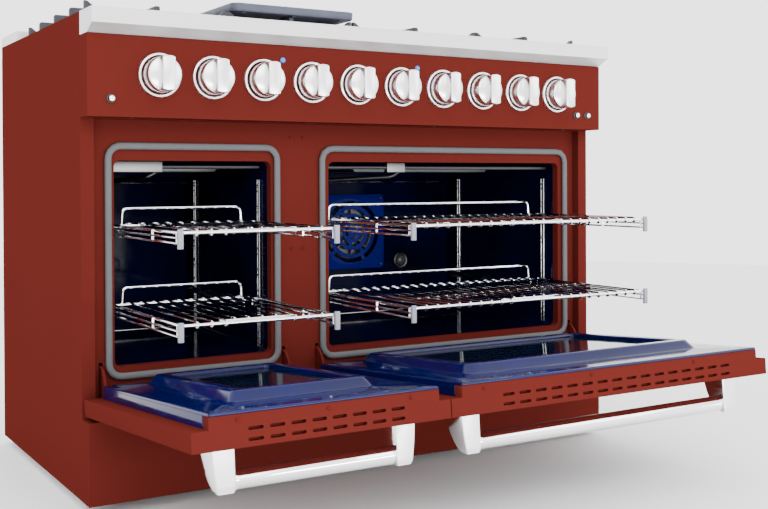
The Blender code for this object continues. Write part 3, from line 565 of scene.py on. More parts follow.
def spangled_zinc(name, colour, darker):
    material, tree, shader = new_finish(name, colour, 0.42, 0.9)
    spangle = tree.nodes.new("ShaderNodeTexVoronoi")
    spangle.inputs["Scale"].default_value = 60.0
    tree.links.new(stretched(tree, (1, 1, 1)), spangle.inputs["Vector"])
    separate = tree.nodes.new("ShaderNodeSeparateColor")
    tree.links.new(spangle.outputs["Color"], separate.inputs["Color"])
    tint(tree, shader, separate.outputs["Red"], darker, colour)
    roughen(tree, shader, separate.outputs["Green"], 0.34, 0.5, 0.0, 1.0)
    return material


def tinted_glass(name, colour, deeper, roughness):
    """Coated oven glass, nearly opaque, with a faint film of cleaning marks."""
    material, tree, shader = new_finish(name, colour, roughness, Specular_IOR_Level=0.25)
    film = noise(tree, 9.0, (1, 3, 1))
    tint(tree, shader, film, deeper, colour)
    roughen(tree, shader, film, roughness * 0.6, roughness * 1.8)
    return material


def lit_lens(name, colour, brighter):
    material, tree, shader = new_finish(name, colour, 0.15, Emission_Strength=0.55)
    tree.links.new(blend_colours(tree, noise(tree, 400.0), colour, brighter), shader.inputs["Emission Color"])
    return material


FINISH = {
    "red_paint": satin_paint("red_paint", (0.078, 0.0118, 0.0090), (0.076, 0.0115, 0.0088)),
    "stainless": brushed_metal("stainless", (0.62, 0.62, 0.62), 0.42, (0.02, 1, 1), 0.55),
    "chrome": polished_metal("chrome", (0.93, 0.93, 0.94), 0.09),
    "satin_chrome": brushed_metal("satin_chrome", (0.92, 0.92, 0.93), 0.24, (1, 1, 0.05)),
    "oven_enamel": glossy_enamel("oven_enamel", (0.0006, 0.0014, 0.022),
                                  (0.0003, 0.0006, 0.008), (0.006, 0.010, 0.05), 0.03),
    "door_enamel": glossy_enamel("door_enamel", (0.0004, 0.0022, 0.052),
                                  (0.0003, 0.0015, 0.034), (0.010, 0.016, 0.09), 0.24),
    "fan_enamel": glossy_enamel("fan_enamel", (0.0012, 0.004, 0.14),
                                 (0.0008, 0.0025, 0.09), (0.006, 0.012, 0.2), 0.05),
    "grey_braid": woven_braid("grey_braid", (0.088, 0.090, 0.096), (0.055, 0.056, 0.060)),
    "cast_iron": cast_metal("cast_iron", (0.016, 0.018, 0.032), (0.010, 0.011, 0.018), 0.52, 0.1),
    "cast_aluminium": cast_metal("cast_aluminium", (0.060, 0.066, 0.10), (0.040, 0.044, 0.070), 0.45, 0.3),
    "galvanised": spangled_zinc("galvanised", (0.50, 0.51, 0.52), (0.38, 0.39, 0.40)),
    "glass": tinted_glass("glass", (0.004, 0.010, 0.020), (0.003, 0.006, 0.014), 0.05),
    "brass": polished_metal("brass", (0.62, 0.42, 0.16), 0.28),
    "cap_plastic": satin_paint("cap_plastic", (0.25, 0.26, 0.31), (0.23, 0.24, 0.29)),
    "burner_black": cast_metal("burner_black", (0.015, 0.015, 0.017), (0.008, 0.008, 0.009), 0.45, 0.0),
    "dark_steel": brushed_metal("dark_steel", (0.075, 0.075, 0.08), 0.42, (0.05, 1, 1)),
    "wire_steel": polished_metal("wire_steel", (0.30, 0.30, 0.31), 0.22),
    "bracket_steel": brushed_metal("bracket_steel", (0.20, 0.20, 0.20), 0.45, (0.05, 1, 1)),
    "lamp_glass": tinted_glass("lamp_glass", (0.05, 0.05, 0.055), (0.03, 0.03, 0.035), 0.15),
    "blue_lens": lit_lens("blue_lens", (0.004, 0.14, 0.45), (0.010, 0.20, 0.60)),
}


# ================================================================ controls
def knob(index, x):
    """Deep skirted knob with a thick grip across its face."""
    place = body_place(x, PANEL_Y, KNOB_Z)
    radius = KNOB_RADIUS

    def skirt(mesh):
        add_turned(mesh, ((0.004, 0.0015), (radius - 0.001, 0.0015), (radius, 0.0025), (radius, 0.0180),
                          (radius - 0.0006, 0.0300), (radius - 0.0018, 0.0330), (radius - 0.0042, 0.0345),
                          (0.010, 0.0350), (0.003, 0.0351)), 64)

    def grip(mesh):
        reach = radius - 0.0012
        turn = math.asin(GRIP_HALF_WIDTH / reach)
        outline = []
        for quarter in (1, 3):
            for step in range(7):
                angle = quarter * math.pi / 2 + turn * (step / 3 - 1)
                outline.append((reach * math.cos(angle), reach * math.sin(angle)))
        add_prism(mesh, outline, "y", -KNOB_REACH, -0.0300)

    handle = soften(shape("grip", grip, place), 0.0026, 3)
    piece = join(f"control_knob_{index}", [shape("skirt", skirt, place), handle])
    fit(piece, FINISH["satin_chrome"], f"knob_{index}", (f"knob_{index}",))


def bezel_ring(mesh):
    add_turned(mesh, ((0.0362, 0.0002), (0.0362, 0.0062), (0.0370, 0.0074), (0.0385, 0.0078),
                      (0.0404, 0.0070), (0.0416, 0.0050), (0.0420, 0.0020), (0.0420, 0.0002)),
               72, closed=True)


def lens_dome(mesh):
    add_turned(mesh, ((0.0055, 0.0002), (0.0055, 0.0016), (0.0046, 0.0032), (0.0026, 0.0042),
                      (0.0006, 0.0045)), 28)


def button_collar(mesh):
    add_turned(mesh, ((0.0060, 0.0002), (0.0060, 0.0024), (0.0068, 0.0028), (0.0080, 0.0022),
                      (0.0084, 0.0010), (0.0084, 0.0002)), 32, closed=True)


def fascia_fittings():
    """Bezels round the knobs, indicator lenses, and collars round the buttons: all fixed to the fascia."""
    y = PANEL_Y + BODY_SHIFT
    bezels = row("knob_bezels", shape("bezel", bezel_ring), KNOB_COUNT, (KNOB_X[0], y, KNOB_Z),
                 (KNOB_PITCH, 0, 0), FINISH["satin_chrome"])
    fit(bezels, None, "range_body")
    lenses = row("indicator_lenses", shape("lens", lens_dome), 2, (LENS_X, y, LENS_Z), (LENS_STEP, 0, 0),
                 FINISH["blue_lens"])
    fit(lenses, None, "range_body")
    collars = [shape("collar", button_collar, body_place(x, PANEL_Y, BUTTON_Z)) for x in BUTTONS.values()]
    fit(join("button_collars", collars), FINISH["dark_steel"], "range_body")


def button(name, x):
    """Small domed button on the stem that runs through the fascia."""
    def head(mesh):
        add_turned(mesh, ((0.0030, 0.0030), (0.0053, 0.0031), (0.0055, 0.0034), (0.0055, 0.0066),
                          (0.0050, 0.0078), (0.0036, 0.0085), (0.0006, 0.0087)), 28)
        add_turned(mesh, ((0.0030, -0.0150), (0.0030, 0.0034)), 16)

    cap = shape(f"{name}_cap", head, body_place(x, PANEL_Y, BUTTON_Z))
    fit(cap, FINISH["chrome"], name, (name,))


# ================================================================ doors
def door_skin(side):
    """Folded outer pan with a rolled lower edge, a stepped top edge and two rows of vent slots."""
    oven = OVENS[side]
    low, high = oven["door"]
    roll = DOOR_ROLL_RADIUS
    profile = [(DOOR_FOLD, DOOR_HEIGHT), (0.0, DOOR_HEIGHT)]
    for step in range(9):
        turn = math.pi / 2 * step / 8
        profile.append((roll * (1 - math.cos(turn)), roll * (1 - math.sin(turn))))
    profile += [(DOOR_FOLD - 0.004, 0.0), (DOOR_FOLD - 0.0012, 0.0012), (DOOR_FOLD, 0.004)]

    pan = shape(f"door_pan_{side}", lambda mesh: add_prism(mesh, profile, "x", low, high))
    tip = shape("tip", lambda mesh: add_box(mesh, oven["liner"], (0.020, 0.0500), (0.504, DOOR_HEIGHT)))
    union = pan.modifiers.new("tip", "BOOLEAN")
    union.operation = "UNION"
    union.object = tip
    settle(pan)
    discard(tip)
    soften(pan, 0.0011, 2)

    def slot(mesh):
        outline = rounded_outline((-0.0125, 0.0125), (-0.0026, 0.0026), 0.0024, 4)
        add_prism(mesh, outline, "z", DOOR_HEIGHT - 0.009, DOOR_HEIGHT + 0.010)

    count = oven["vents"]
    first = (low + high) / 2 - VENT_PITCH * (count - 1) / 2
    cutters = [row("vents", shape("slot", slot), count, (first, level, 0), (VENT_PITCH, 0, 0), None)
               for level in VENT_LEVELS]

    def arm_slots(mesh):
        for x in oven["arms"]:
            add_box(mesh, (x - 0.005, x + 0.005), (0.012, 0.040), (-0.010, 0.085))

    carve(pan, *cutters, shape("arm_slots", arm_slots))
    pan.data.transform(door_place())
    fit(pan, FINISH["red_paint"], f"door_{side}", (f"door_skin_{side}",), 30)


def door_liner(side):
    """Inner pan pressed from one sheet: rolled rim, flat field, raised slope and the window's inner edge."""
    oven = OVENS[side]
    low, high = oven["liner"]
    corner = oven["corner"]
    window = WINDOW_FROM_PLATEAU
    field = ((low, high), (0.029, 0.5035))
    rim = ((low, high), (0.029, DOOR_HEIGHT + 0.0008))
    plateau = ((low + PLATEAU_FROM_EDGE, high - PLATEAU_FROM_EDGE), (0.067, 0.443))

    def ring(area, inset, radius, inward):
        x, rise = area
        outline = rounded_outline((x[0] + inset, x[1] - inset), (rise[0] + inset, rise[1] - inset), radius, 8)
        return [(a, inward, b) for a, b in outline]

    rings = [
        ring(field, 0.0, 0.003, 0.0315),
        ring(field, 0.0, 0.003, 0.0503),
        ring(rim, 0.0004, 0.003, 0.0505),
        ring(rim, 0.0, 0.003, 0.0520),
        ring(rim, 0.0006, 0.003, 0.0538),
        ring(rim, 0.0022, 0.003, 0.0548),
        ring(rim, 0.0045, 0.003, 0.0550),
        ring(plateau, -0.0050, corner + 0.005, 0.0550),
        ring(plateau, -0.0020, corner + 0.002, 0.0556),
        ring(plateau, 0.0000, corner, 0.0572),
        ring(plateau, 0.0085, corner, 0.0690),
        ring(plateau, 0.0100, corner - 0.001, 0.0712),
        ring(plateau, 0.0125, corner - 0.003, 0.0724),
        ring(plateau, 0.0150, corner - 0.004, PLATEAU_INWARD),
        ring(plateau, window - 0.0040, 0.010, PLATEAU_INWARD),
        ring(plateau, window - 0.0012, 0.009, 0.0716),
        ring(plateau, window, 0.009, 0.0690),
        ring(plateau, window, 0.009, 0.0653),
        ring(plateau, window - 0.0135, 0.009, 0.0653),
        ring(plateau, window - 0.0135, 0.009, 0.0595),
        ring(plateau, window - 0.0135, 0.009, 0.0315),
    ]
    pan = shape(f"door_inner_pan_{side}", lambda mesh: add_loft(mesh, rings, closed=True))

    def arm_slots(mesh):
        for x in oven["arms"]:
            add_box(mesh, (x - 0.005, x + 0.005), (0.020, 0.090), (0.000, 0.085))

    carve(pan, shape("arm_slots", arm_slots))
    pan.data.transform(door_place())
    fit(pan, FINISH["door_enamel"], f"door_{side}", (f"door_liner_{side}",), 40)


def door_outer_window(side):
    """Outer window pane, seated in the outer face."""
    oven = OVENS[side]
    x = (oven["liner"][0] + 0.100, oven["liner"][1] - 0.100)
    outline = rounded_outline(x, (0.130, 0.385), 0.010, 6)
    pane = shape(f"door_outer_window_{side}", lambda mesh: add_prism(mesh, outline, "y", -0.0012, 0.004))
    soften(pane, 0.0006, 2)
    pane.data.transform(door_place())
    fit(pane, FINISH["glass"], f"door_{side}")


def door_handle(side):
    """Round bar on two curved brackets that narrow away from the door."""
    low, high = OVENS[side]["door"]
    ends = (low + BRACKET_FROM_EDGE, high - BRACKET_FROM_EDGE)
    levels = ((0.0004, 0.435), (0.010, 0.4362), (0.020, 0.4383), (0.030, 0.4412), (0.038, 0.4443),
              (0.046, 0.4480), (0.054, 0.4525), (0.060, 0.4568), (0.066, 0.4632), (0.0695, 0.4690),
              (0.0710, 0.4740))
    pieces = []
    for outer, inward in ((ends[0], 1), (ends[1], -1)):
        rings = []
        for out, rear in levels:
            taper = 0.008 * (out / 0.071) ** 1.6
            tight = 0.0 if out < 0.069 else 0.0015
            x = sorted((outer + inward * (taper + tight), outer + inward * (BRACKET_WIDTH - tight)))
            outline = rounded_outline(x, (rear, 0.487 - tight), 0.0022, 3)
            rings.append([(a, -out, b) for a, b in outline])
        pieces.append(shape("bracket", lambda mesh: add_loft(mesh, rings)))

    length = ends[1] - ends[0]
    profile = [(0.0135, 0.030), (0.0135, 0.0385), (0.0150, 0.0385), (0.0155, 0.0395), (0.0155, 0.0435),
               (0.0150, 0.0445), (0.0150, length - 0.0445), (0.0155, length - 0.0435),
               (0.0155, length - 0.0395), (0.0150, length - 0.0385), (0.0135, length - 0.0385),
               (0.0135, length - 0.030)]
    across = Matrix.Translation((ends[0], -BAR_OUT, BAR_RISE)) @ Matrix.Rotation(math.pi / 2, 4, "Z")
    pieces.append(shape("bar", lambda mesh: add_turned(mesh, profile, 48), across))
    handle = join(f"door_bar_handle_{side}", pieces)
    handle.data.transform(door_place())
    fit(handle, FINISH["chrome"], f"door_{side}", (f"door_handle_{side}",), 30)


def pan_head(mesh):
    """Small pan-head screw with a dimple; its axis is Y and its head faces -Y."""
    add_turned(mesh, ((0.0006, 0.0002), (0.0030, 0.0002), (0.0033, 0.0008), (0.0030, 0.0016),
                      (0.0020, 0.0021), (0.0012, 0.0015), (0.0005, 0.0012)), 12)


def screw(turn, axis):
    """A screw whose head has been turned from -Y about an axis."""
    return shape("screw", pan_head, Matrix.Rotation(turn, 4, axis))


def door_screws(side):
    """Screws that hold the inner pan to the door's top edge."""
    xs = {"left": (-0.5345, -0.3835, -0.2345), "right": (-0.090, 0.1475, 0.405)}[side]
    points = [(x, 0.042, DOOR_HEIGHT + 0.0001) for x in xs]
    item = fasteners(f"door_edge_screws_{side}", points, screw(-math.pi / 2, "X"), (0, 0, 1),
                     FINISH["red_paint"])
    item.data.transform(door_place())
    fit(item, None, f"door_{side}")


# ================================================================ oven mouths and insides
def seal(side):
    """Braided seal round an oven mouth."""
    oven = OVENS[side]
    width = 2 * (oven["half"] + oven["seal"] - SEAL_HALF_WIDTH)
    item = shape(f"oven_seal_{side}", lambda mesh: None)
    grow(item, SEAL_TREE, width=width, height=SEAL_HEIGHT - 2 * SEAL_HALF_WIDTH, corner=0.024,
         half_width=SEAL_HALF_WIDTH, half_depth=SEAL_HALF_DEPTH, finish=FINISH["grey_braid"])
    upright = Matrix.Rotation(math.pi / 2, 4, "X")
    item.data.transform(body_place(oven["centre"], FRAME_Y - 0.0050, SEAL_MIDDLE_Z) @ upright)
    fit(item, None, "range_body", (f"door_gasket_{side}",), 60)


def frame_screws():
    """Screws of the oven frame, of the fascia's underside and of the rear sheet."""
    face_y = FRAME_Y - 0.0001 + BODY_SHIFT
    face = [(x, face_y, z) for x in (-0.5815, -0.145, -0.172, 0.5815) for z in (0.465, 0.692)]
    heads = fasteners("frame_screws", face, screw(0.0, "X"), (0, 1, 0), FINISH["red_paint"])
    fit(heads, None, "range_body")
    under = [(x, -0.020 + BODY_SHIFT, 0.7211) for x in (-0.52, -0.155, 0.155, 0.52)]
    heads = fasteners("fascia_screws", under, screw(math.pi / 2, "X"), (0, 0, 1), FINISH["dark_steel"])
    fit(heads, None, "range_body")
    rear_y = 0.6281 + BODY_SHIFT
    rear = [(0.1475 * index, rear_y, z) for index in range(-4, 5) for z in (0.035, 0.450, 0.870)]
    heads = fasteners("rear_screws", rear, screw(math.pi, "Z"), (0, 1, 0), FINISH["galvanised"])
    fit(heads, None, "range_body")


def rack_ladders(side):
    """Wire ladders on both walls of an oven, with pairs of short pegs, cross rods and the fixed rails."""
    oven = OVENS[side]
    centre, half = oven["centre"], oven["half"]
    parts = []
    for way in (-1, 1):
        wall = centre + way * (half - 0.0030)
        for y in LADDER_Y:
            def posts(mesh):
                for shift in (-0.0045, 0.0045):
                    add_rod(mesh, ((wall, y + shift, 0.262), (wall, y + shift, 0.606)), ROD_RADIUS)

            def pegs(mesh):
                for gap in (-0.006, 0.006):
                    add_rod(mesh, ((0.001 * way, -0.0045, gap), (-0.0065 * way, -0.0045, gap)), 0.0014, 8)

            def rung(mesh):
                add_rod(mesh, ((0, -0.0045, 0.012), (0, 0.0045, 0.012)), 0.0014, 8)

            climb = (0, 0, LADDER_PITCH)
            parts += [shape("posts", posts),
                      row("pegs", shape("peg", pegs), LADDER_ROWS, (wall, y, 0.286), climb, None),
                      row("rungs", shape("rung", rung), LADDER_ROWS, (wall, y, 0.276), climb, None)]
        rail_x = centre + way * (half - 0.0075)
        for level in RACK_LEVELS.values():
            outline = [(rail_x + way * a, level + b) for a, b in (
                (0.0020, -0.0240), (-0.0020, -0.0240), (-0.0020, -0.0225), (0.0006, -0.0225),
                (0.0006, -0.0105), (-0.0020, -0.0105), (-0.0020, -0.0090), (0.0020, -0.0090))]
            parts.append(shape("rail", lambda mesh: add_prism(mesh, outline, "y", 0.050, 0.458)))
    for z in (0.268, 0.600):
        ends = ((centre - half + 0.004, 0.423, z), (centre + half - 0.004, 0.423, z))
        parts.append(shape("cross_rod", lambda mesh: add_rod(mesh, ends, ROD_RADIUS)))
    ladders = join(f"rack_ladders_{side}", parts)
    ladders.data.transform(body_place())
    fit(ladders, FINISH["wire_steel"], "range_body", (f"rack_guides_{side}",))


def rack(side, level_name):
    """Wire rack: thick edge bars, wires hooked over them, a grab gap, a rear guard and sliding rails."""
    oven = OVENS[side]
    centre = oven["centre"]
    level = RACK_LEVELS[level_name]
    reach = oven["half"] - 0.0105
    count = RACK_WIRES[side]
    front, back = WIRE_RACK_FRONT, WIRE_RACK_BACK
    bar = RACK_BAR_RADIUS
    wire = RACK_WIRE_RADIUS
    axis = level - bar
    side_x = reach - 0.0085
    pitch = 2 * side_x / (count + 1)
    grab = GRAB_GAP
    short = SHORT_WIRES
    long_each = (count - short) // 2

    def hooked(near):
        def draw(mesh):
            lift = bar + wire
            path = [(0, back + lift, axis - 0.002), (0, back + bar + 0.3 * wire, axis + 0.7 * lift),
                    (0, back, axis + lift), (0, near + 0.012, axis + lift)]
            for step in range(10):
                turn = math.radians(90 + 27 * step)
                path.append((0, near + lift * math.cos(turn), axis + lift * math.sin(turn)))
            add_rod(mesh, path, wire, 8)
        return shape("wire", draw)

    def bars(mesh):
        edge = rounded_path([(centre - side_x, back, axis), (centre - side_x, front, axis),
                             (centre + side_x, front, axis), (centre + side_x, back, axis)], 0.007)
        add_rod(mesh, edge, bar, 12)
        add_rod(mesh, ((centre - side_x - 0.001, back, axis), (centre + side_x + 0.001, back, axis)), bar, 12)
        inner = pitch * (short + 1) / 2 + wire
        add_rod(mesh, ((centre - inner, front + grab, axis), (centre + inner, front + grab, axis)), bar, 12)

    def guard(mesh):
        foot = reach - 0.025
        top = level + GUARD_HEIGHT
        path = rounded_path([(centre - foot, back, axis), (centre - foot + 0.002, back, top),
                             (centre + foot - 0.002, back, top), (centre + foot, back, axis)], 0.012)
        add_rod(mesh, path, 0.0029, 10)

    step = (pitch, 0, 0)
    first = centre - side_x + pitch
    parts = [
        row("wires", hooked(front), long_each, (first, 0, 0), step, None),
        row("wires", hooked(front + grab), short, (first + pitch * long_each, 0, 0), step, None),
        row("wires", hooked(front), long_each, (first + pitch * (long_each + short), 0, 0), step, None),
        shape("bars", bars),
        shape("guard", guard),
    ]
    for way in (-1, 1):
        rail_x = centre + way * (reach - 0.0022)

        def runner(mesh):
            for drop in (0.0115, 0.0205):
                ends = ((rail_x, front + 0.002, level - drop), (rail_x, 0.090, level - drop))
                add_rod(mesh, ends, ROD_RADIUS)

        parts.append(shape("runner", runner))
        hanger_x = centre + way * (reach - 0.0040)

        def hangers(mesh):
            for y in (front + 0.010, -0.150, 0.080):
                add_rod(mesh, ((hanger_x, y, level - 0.021), (hanger_x, y, level - 0.004),
                               (hanger_x - way * 0.004, y, level - 0.003)), ROD_RADIUS, 8)

        parts.append(shape("hangers", hangers))
    wires = join(f"wire_rack_{side}_{level_name}", parts)
    wires.data.transform(body_place())
    body = f"rack_{side}_{level_name}"
    fit(wires, FINISH["chrome"], body, (f"oven_rack_{side}_{level_name}",))

    caps = []
    for way in (-1, 1):
        x = sorted((centre + way * reach, centre + way * (reach - 0.0090)))
        z = (level - 0.0295, level + 0.0030)
        caps.append(shape("cap", lambda mesh: add_box(mesh, x, (-0.2850, -0.2790), z)))
    covers = soften(join(f"rack_end_caps_{side}_{level_name}", caps), 0.0008, 2)
    covers.data.transform(body_place())
    fit(covers, FINISH["cap_plastic"], body)


def fan_guard():
    """Square enamelled plate over the fan, pierced by rings of curved slots."""
    centre, middle = OVENS["right"]["centre"], FAN_MIDDLE_Z
    outline = rounded_outline((-0.096, 0.096), (-0.096, 0.096), 0.012, 6)
    inside = rounded_outline((-0.0945, 0.0945), (-0.0945, 0.0945), 0.0105, 6)
    front = [(a * 0.985, b * 0.985) for a, b in outline]
    levels = ((front, 0.4630), (outline, 0.4640), (outline, 0.4845), (inside, 0.4845), (inside, 0.4645))
    rings = [[(a, y, b) for a, b in points] for points, y in levels]

    def arcs(radius, width, count, offset):
        def draw(mesh):
            share = 2 * math.pi / count
            for index in range(count):
                start = offset + share * index
                turns = [start + (share - 0.010 / radius) * step / 10 for step in range(11)]
                outer, inner = radius + width / 2, radius - width / 2
                rim = [(outer * math.cos(turn), outer * math.sin(turn)) for turn in turns]
                hub = [(inner * math.cos(turn), inner * math.sin(turn)) for turn in turns]
                add_prism(mesh, rim + hub[::-1], "y", 0.4600, 0.4680)
        return shape("arcs", draw)

    guard = carve(shape("fan_guard", lambda mesh: add_loft(mesh, rings)), arcs(0.017, 0.006, 3, 0.3),
                  arcs(0.033, 0.009, 4, 0.0), arcs(0.053, 0.011, 4, 0.6), arcs(0.074, 0.011, 5, 0.2))
    guard.data.transform(body_place(centre, 0, middle))
    fit(guard, FINISH["fan_enamel"], "range_body", ("fan_cover",), 40)
    face_y = 0.4629 + BODY_SHIFT
    corners = [(centre + a, face_y, middle + b) for a in (-0.086, 0.086) for b in (-0.086, 0.086)]
    heads = fasteners("fan_guard_screws", corners, screw(0.0, "X"), (0, 1, 0), FINISH["dark_steel"])
    fit(heads, None, "range_body")


def oven_lamp(name, x, z):
    """Domed lamp glass in a steel ring on an oven's back wall."""
    def rim(mesh):
        add_turned(mesh, ((0.0150, 0.0), (0.0150, 0.0080), (0.0185, 0.0090), (0.0215, 0.0070),
                          (0.0225, 0.0)), 40, closed=True)

    def lens(mesh):
        add_turned(mesh, ((0.0148, 0.0), (0.0148, 0.0070), (0.0120, 0.0110), (0.0070, 0.0135),
                          (0.0008, 0.0142)), 40)

    place = body_place(x, BACK_WALL_Y, z)
    fit(shape(f"{name}_rim", rim, place), FINISH["dark_steel"], "range_body")
    fit(shape(f"{name}_lens", lens, place), FINISH["lamp_glass"], "range_body")


def broiler(side):
    """Broiler burner under the oven roof, its gas tube, and the brackets that hang it."""
    oven = OVENS[side]
    centre, half = oven["centre"], oven["half"]
    roof = OVEN_ROOF
    width = half * BROILER_SHARE
    section = ((centre - width, roof - 0.006), (centre - width + 0.012, roof - 0.020),
               (centre + width - 0.012, roof - 0.020), (centre + width, roof - 0.006))
    tray = soften(shape("tray", lambda mesh: add_prism(mesh, section, "y", 0.135, 0.345)), 0.0015, 2)
    tube_x = centre - half + 0.060

    def tubes(mesh):
        feed = [(tube_x, 0.478, roof - 0.045), (tube_x, 0.400, roof - 0.045),
                (centre - 0.020, 0.240, roof - 0.030), (centre, 0.240, roof - 0.018)]
        add_rod(mesh, rounded_path(feed, 0.03), 0.0055, 14)
        ends = [(centre + way * (half - 0.012), 0.052, roof - 0.011) for way in (-1, 1)]
        add_rod(mesh, ends, 0.0040, 10)

    holder = join(f"broiler_burner_{side}", [tray, shape("tubes", tubes)])
    holder.data.transform(body_place())
    fit(holder, FINISH["dark_steel"], "range_body")

    span = {"left": (centre - half + 0.006, centre - half + 0.105), "right": (centre - 0.150, centre - 0.104)}
    bracket = shape(f"broiler_bracket_{side}", lambda mesh: add_box(
        mesh, span[side], (0.046, 0.060), (roof - 0.021, roof - 0.0005)))
    soften(bracket, 0.001, 2)
    bracket.data.transform(body_place())
    fit(bracket, FINISH["bracket_steel"], "range_body")


# ================================================================ cooktop
def grate(index):
    """Cast grate: a low frame, ramps at its front corners, and bars that carry pans round each burner."""
    low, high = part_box(f"grate_{index}")
    x = (low[0], high[0])
    centre = (x[0] + x[1]) / 2
    front, back = low[1] - BODY_SHIFT, high[1] - BODY_SHIFT
    floor, top = low[2], high[2]
    middle = (front + back) / 2
    frame_top = top - 0.031
    thick = GRATE_HALF_BAR
    clear = GRATE_CLEARANCE
    bars = []

    def bar(outline, axis, across):
        item = shape("bar", lambda mesh: add_prism(mesh, outline, axis, across - thick, across + thick))
        bars.append(soften(item, 0.0016, 2))

    def finger(axis, across, start, end):
        way = 1 if end > start else -1
        bar([(start, floor), (start, top - 0.003), (start + way * 0.003, top), (end - way * 0.011, top),
             (end, top - 0.012), (end - way * 0.004, top - 0.019), (start + way * 0.018, top - 0.021),
             (start + way * 0.011, floor)], axis, across)

    side_line = [(front, floor), (front, frame_top), (back, frame_top), (back, floor)]
    for across in (x[0] + thick, x[1] - thick):
        bar(side_line, "x", across)
    end_line = [(x[0], floor), (x[0], top), (x[0] + 0.006, top - 0.001), (x[0] + 0.046, frame_top),
                (x[1] - 0.046, frame_top), (x[1] - 0.006, top - 0.001), (x[1], top), (x[1], floor)]
    middle_line = [(x[0], floor), (x[0], top - 0.002), (x[0] + 0.002, top), (x[1] - 0.002, top),
                   (x[1], top - 0.002), (x[1], floor), (x[1] - 0.012, floor), (x[1] - 0.022, top - 0.021),
                   (x[0] + 0.022, top - 0.021), (x[0] + 0.012, floor)]
    for across in (front + thick, back - thick):
        bar(end_line, "y", across)
    bar(middle_line, "y", middle)
    for burner in BURNER_ROWS:
        finger("y", burner, x[0] + 0.0005, centre - clear)
        finger("y", burner, x[1] - 0.0005, centre + clear)
        near, far = (front, middle) if burner < middle else (middle, back)
        finger("x", centre, near + 0.0005, burner - clear)
        finger("x", centre, far - 0.0005, burner + clear)
    piece = join(f"cast_grate_{index}", bars)
    piece.data.transform(body_place())
    fit(piece, FINISH["cast_iron"], "range_body", (f"grate_{index}",), 40)


def griddle():
    """Cast griddle: shallow tray with straight walls, a rolled rim and short feet."""
    low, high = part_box("griddle_plate")
    x, y = (low[0], high[0]), (low[1], high[1])
    bottom, top = low[2], high[2]

    def ring(inset, height, radius):
        outline = rounded_outline((x[0] + inset, x[1] - inset), (y[0] + inset, y[1] - inset), radius, 6)
        return [(a, b, height) for a, b in outline]

    rings = [ring(0.0060, bottom + 0.0016, 0.012), ring(0.0022, bottom + 0.0026, 0.014),
             ring(0.0006, bottom + 0.0052, 0.016), ring(0.0000, top - 0.0024, 0.016),
             ring(0.0006, top - 0.0006, 0.016), ring(0.0024, top, 0.015), ring(0.0070, top - 0.0003, 0.013),
             ring(0.0095, top - 0.0024, 0.011), ring(0.0120, top - 0.0095, 0.010),
             ring(0.0180, top - 0.0102, 0.010), ring(0.0260, top - 0.0085, 0.010)]
    plate = shape("griddle_tray", lambda mesh: add_loft(mesh, rings))

    def feet(mesh):
        for a in (x[0] + 0.030, (x[0] + x[1]) / 2, x[1] - 0.030):
            for b in (y[0] + 0.020, y[1] - 0.020):
                add_box(mesh, (a - 0.004, a + 0.004), (b - 0.010, b + 0.010),
                        (bottom + 0.0001, bottom + 0.0060))

    piece = join("griddle", [plate, shape("feet", feet)])
    fit(piece, FINISH["cast_aluminium"], "range_body", ("griddle_plate",), 40)


def burners(index):
    """Brass burner heads with flame ports and black caps, on their gas tube."""
    low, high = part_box(f"burner_pair_{index}")
    x = (low[0] + high[0]) / 2
    heads = []
    caps = []
    for y in BURNER_ROWS:
        up = body_place(x, y, BURNER_Z) @ Matrix.Rotation(-math.pi / 2, 4, "X")
        base = shape("head", lambda mesh: add_turned(mesh, (
            (0.006, 0.0), (0.0430, 0.0), (0.0440, 0.0015), (0.0435, 0.0040), (0.0385, 0.0060),
            (0.0370, 0.0075), (0.0370, 0.0130), (0.0355, 0.0148), (0.006, 0.0150)), 64), up)

        def ports(mesh):
            for step in range(FLAME_PORTS):
                turn = 2 * math.pi * step / FLAME_PORTS
                along = Vector((math.cos(turn), math.sin(turn)))
                across = Vector((-along.y, along.x)) * 0.0011
                near, far = along * 0.034, along * 0.039
                outline = (near + across, far + across, far - across, near - across)
                add_prism(mesh, [(point.x, point.y) for point in outline], "y", -0.0128, -0.0088)

        heads.append(carve(base, shape("ports", ports, up)))
        heads.append(shape("riser", lambda mesh: add_turned(
            mesh, ((0.0175, 0.0005), (0.0175, -0.0120)), 32), up))
        caps.append(shape("cap", lambda mesh: add_turned(mesh, (
            (0.006, 0.0150), (0.0380, 0.0150), (0.0392, 0.0162), (0.0385, 0.0185), (0.0340, 0.0205),
            (0.0180, 0.0222), (0.0006, 0.0226)), 64), up))
    tube = shape("tube", lambda mesh: add_box(
        mesh, (x - 0.009, x + 0.009), (0.045, 0.400), (0.866, 0.880)), body_place())
    heads.append(soften(tube, 0.003, 3))
    pair = join(f"burner_heads_{index}", heads)
    fit(pair, FINISH["brass"], "range_body", (f"burner_pair_{index}",))
    fit(join(f"burner_caps_{index}", caps), FINISH["burner_black"], "range_body")


# ================================================================ finishes of the CAD parts that stay
CAD_FINISH = {
    "red_paint": "red_paint", "stainless": "stainless", "chrome": "chrome", "blue_enamel": "oven_enamel",
    "galvanised": "galvanised", "grey_braid": "grey_braid", "cast_iron": "cast_iron",
    "cast_aluminium": "cast_aluminium", "glass": "glass", "brass": "brass",
}


def finish_cad_parts():
    """Gives every CAD part that stays in view its finish."""
    slots = {part["node"]: part["material_slot"] for part in frame["record"]["subparts"]}
    for name, node in frame["nodes"].items():
        finish = FINISH["dark_steel" if name == "fan_wheel" else CAD_FINISH[slots[name]]]
        if not node.material_slots:
            node.data.materials.append(finish)
        for slot in node.material_slots:
            slot.material = finish


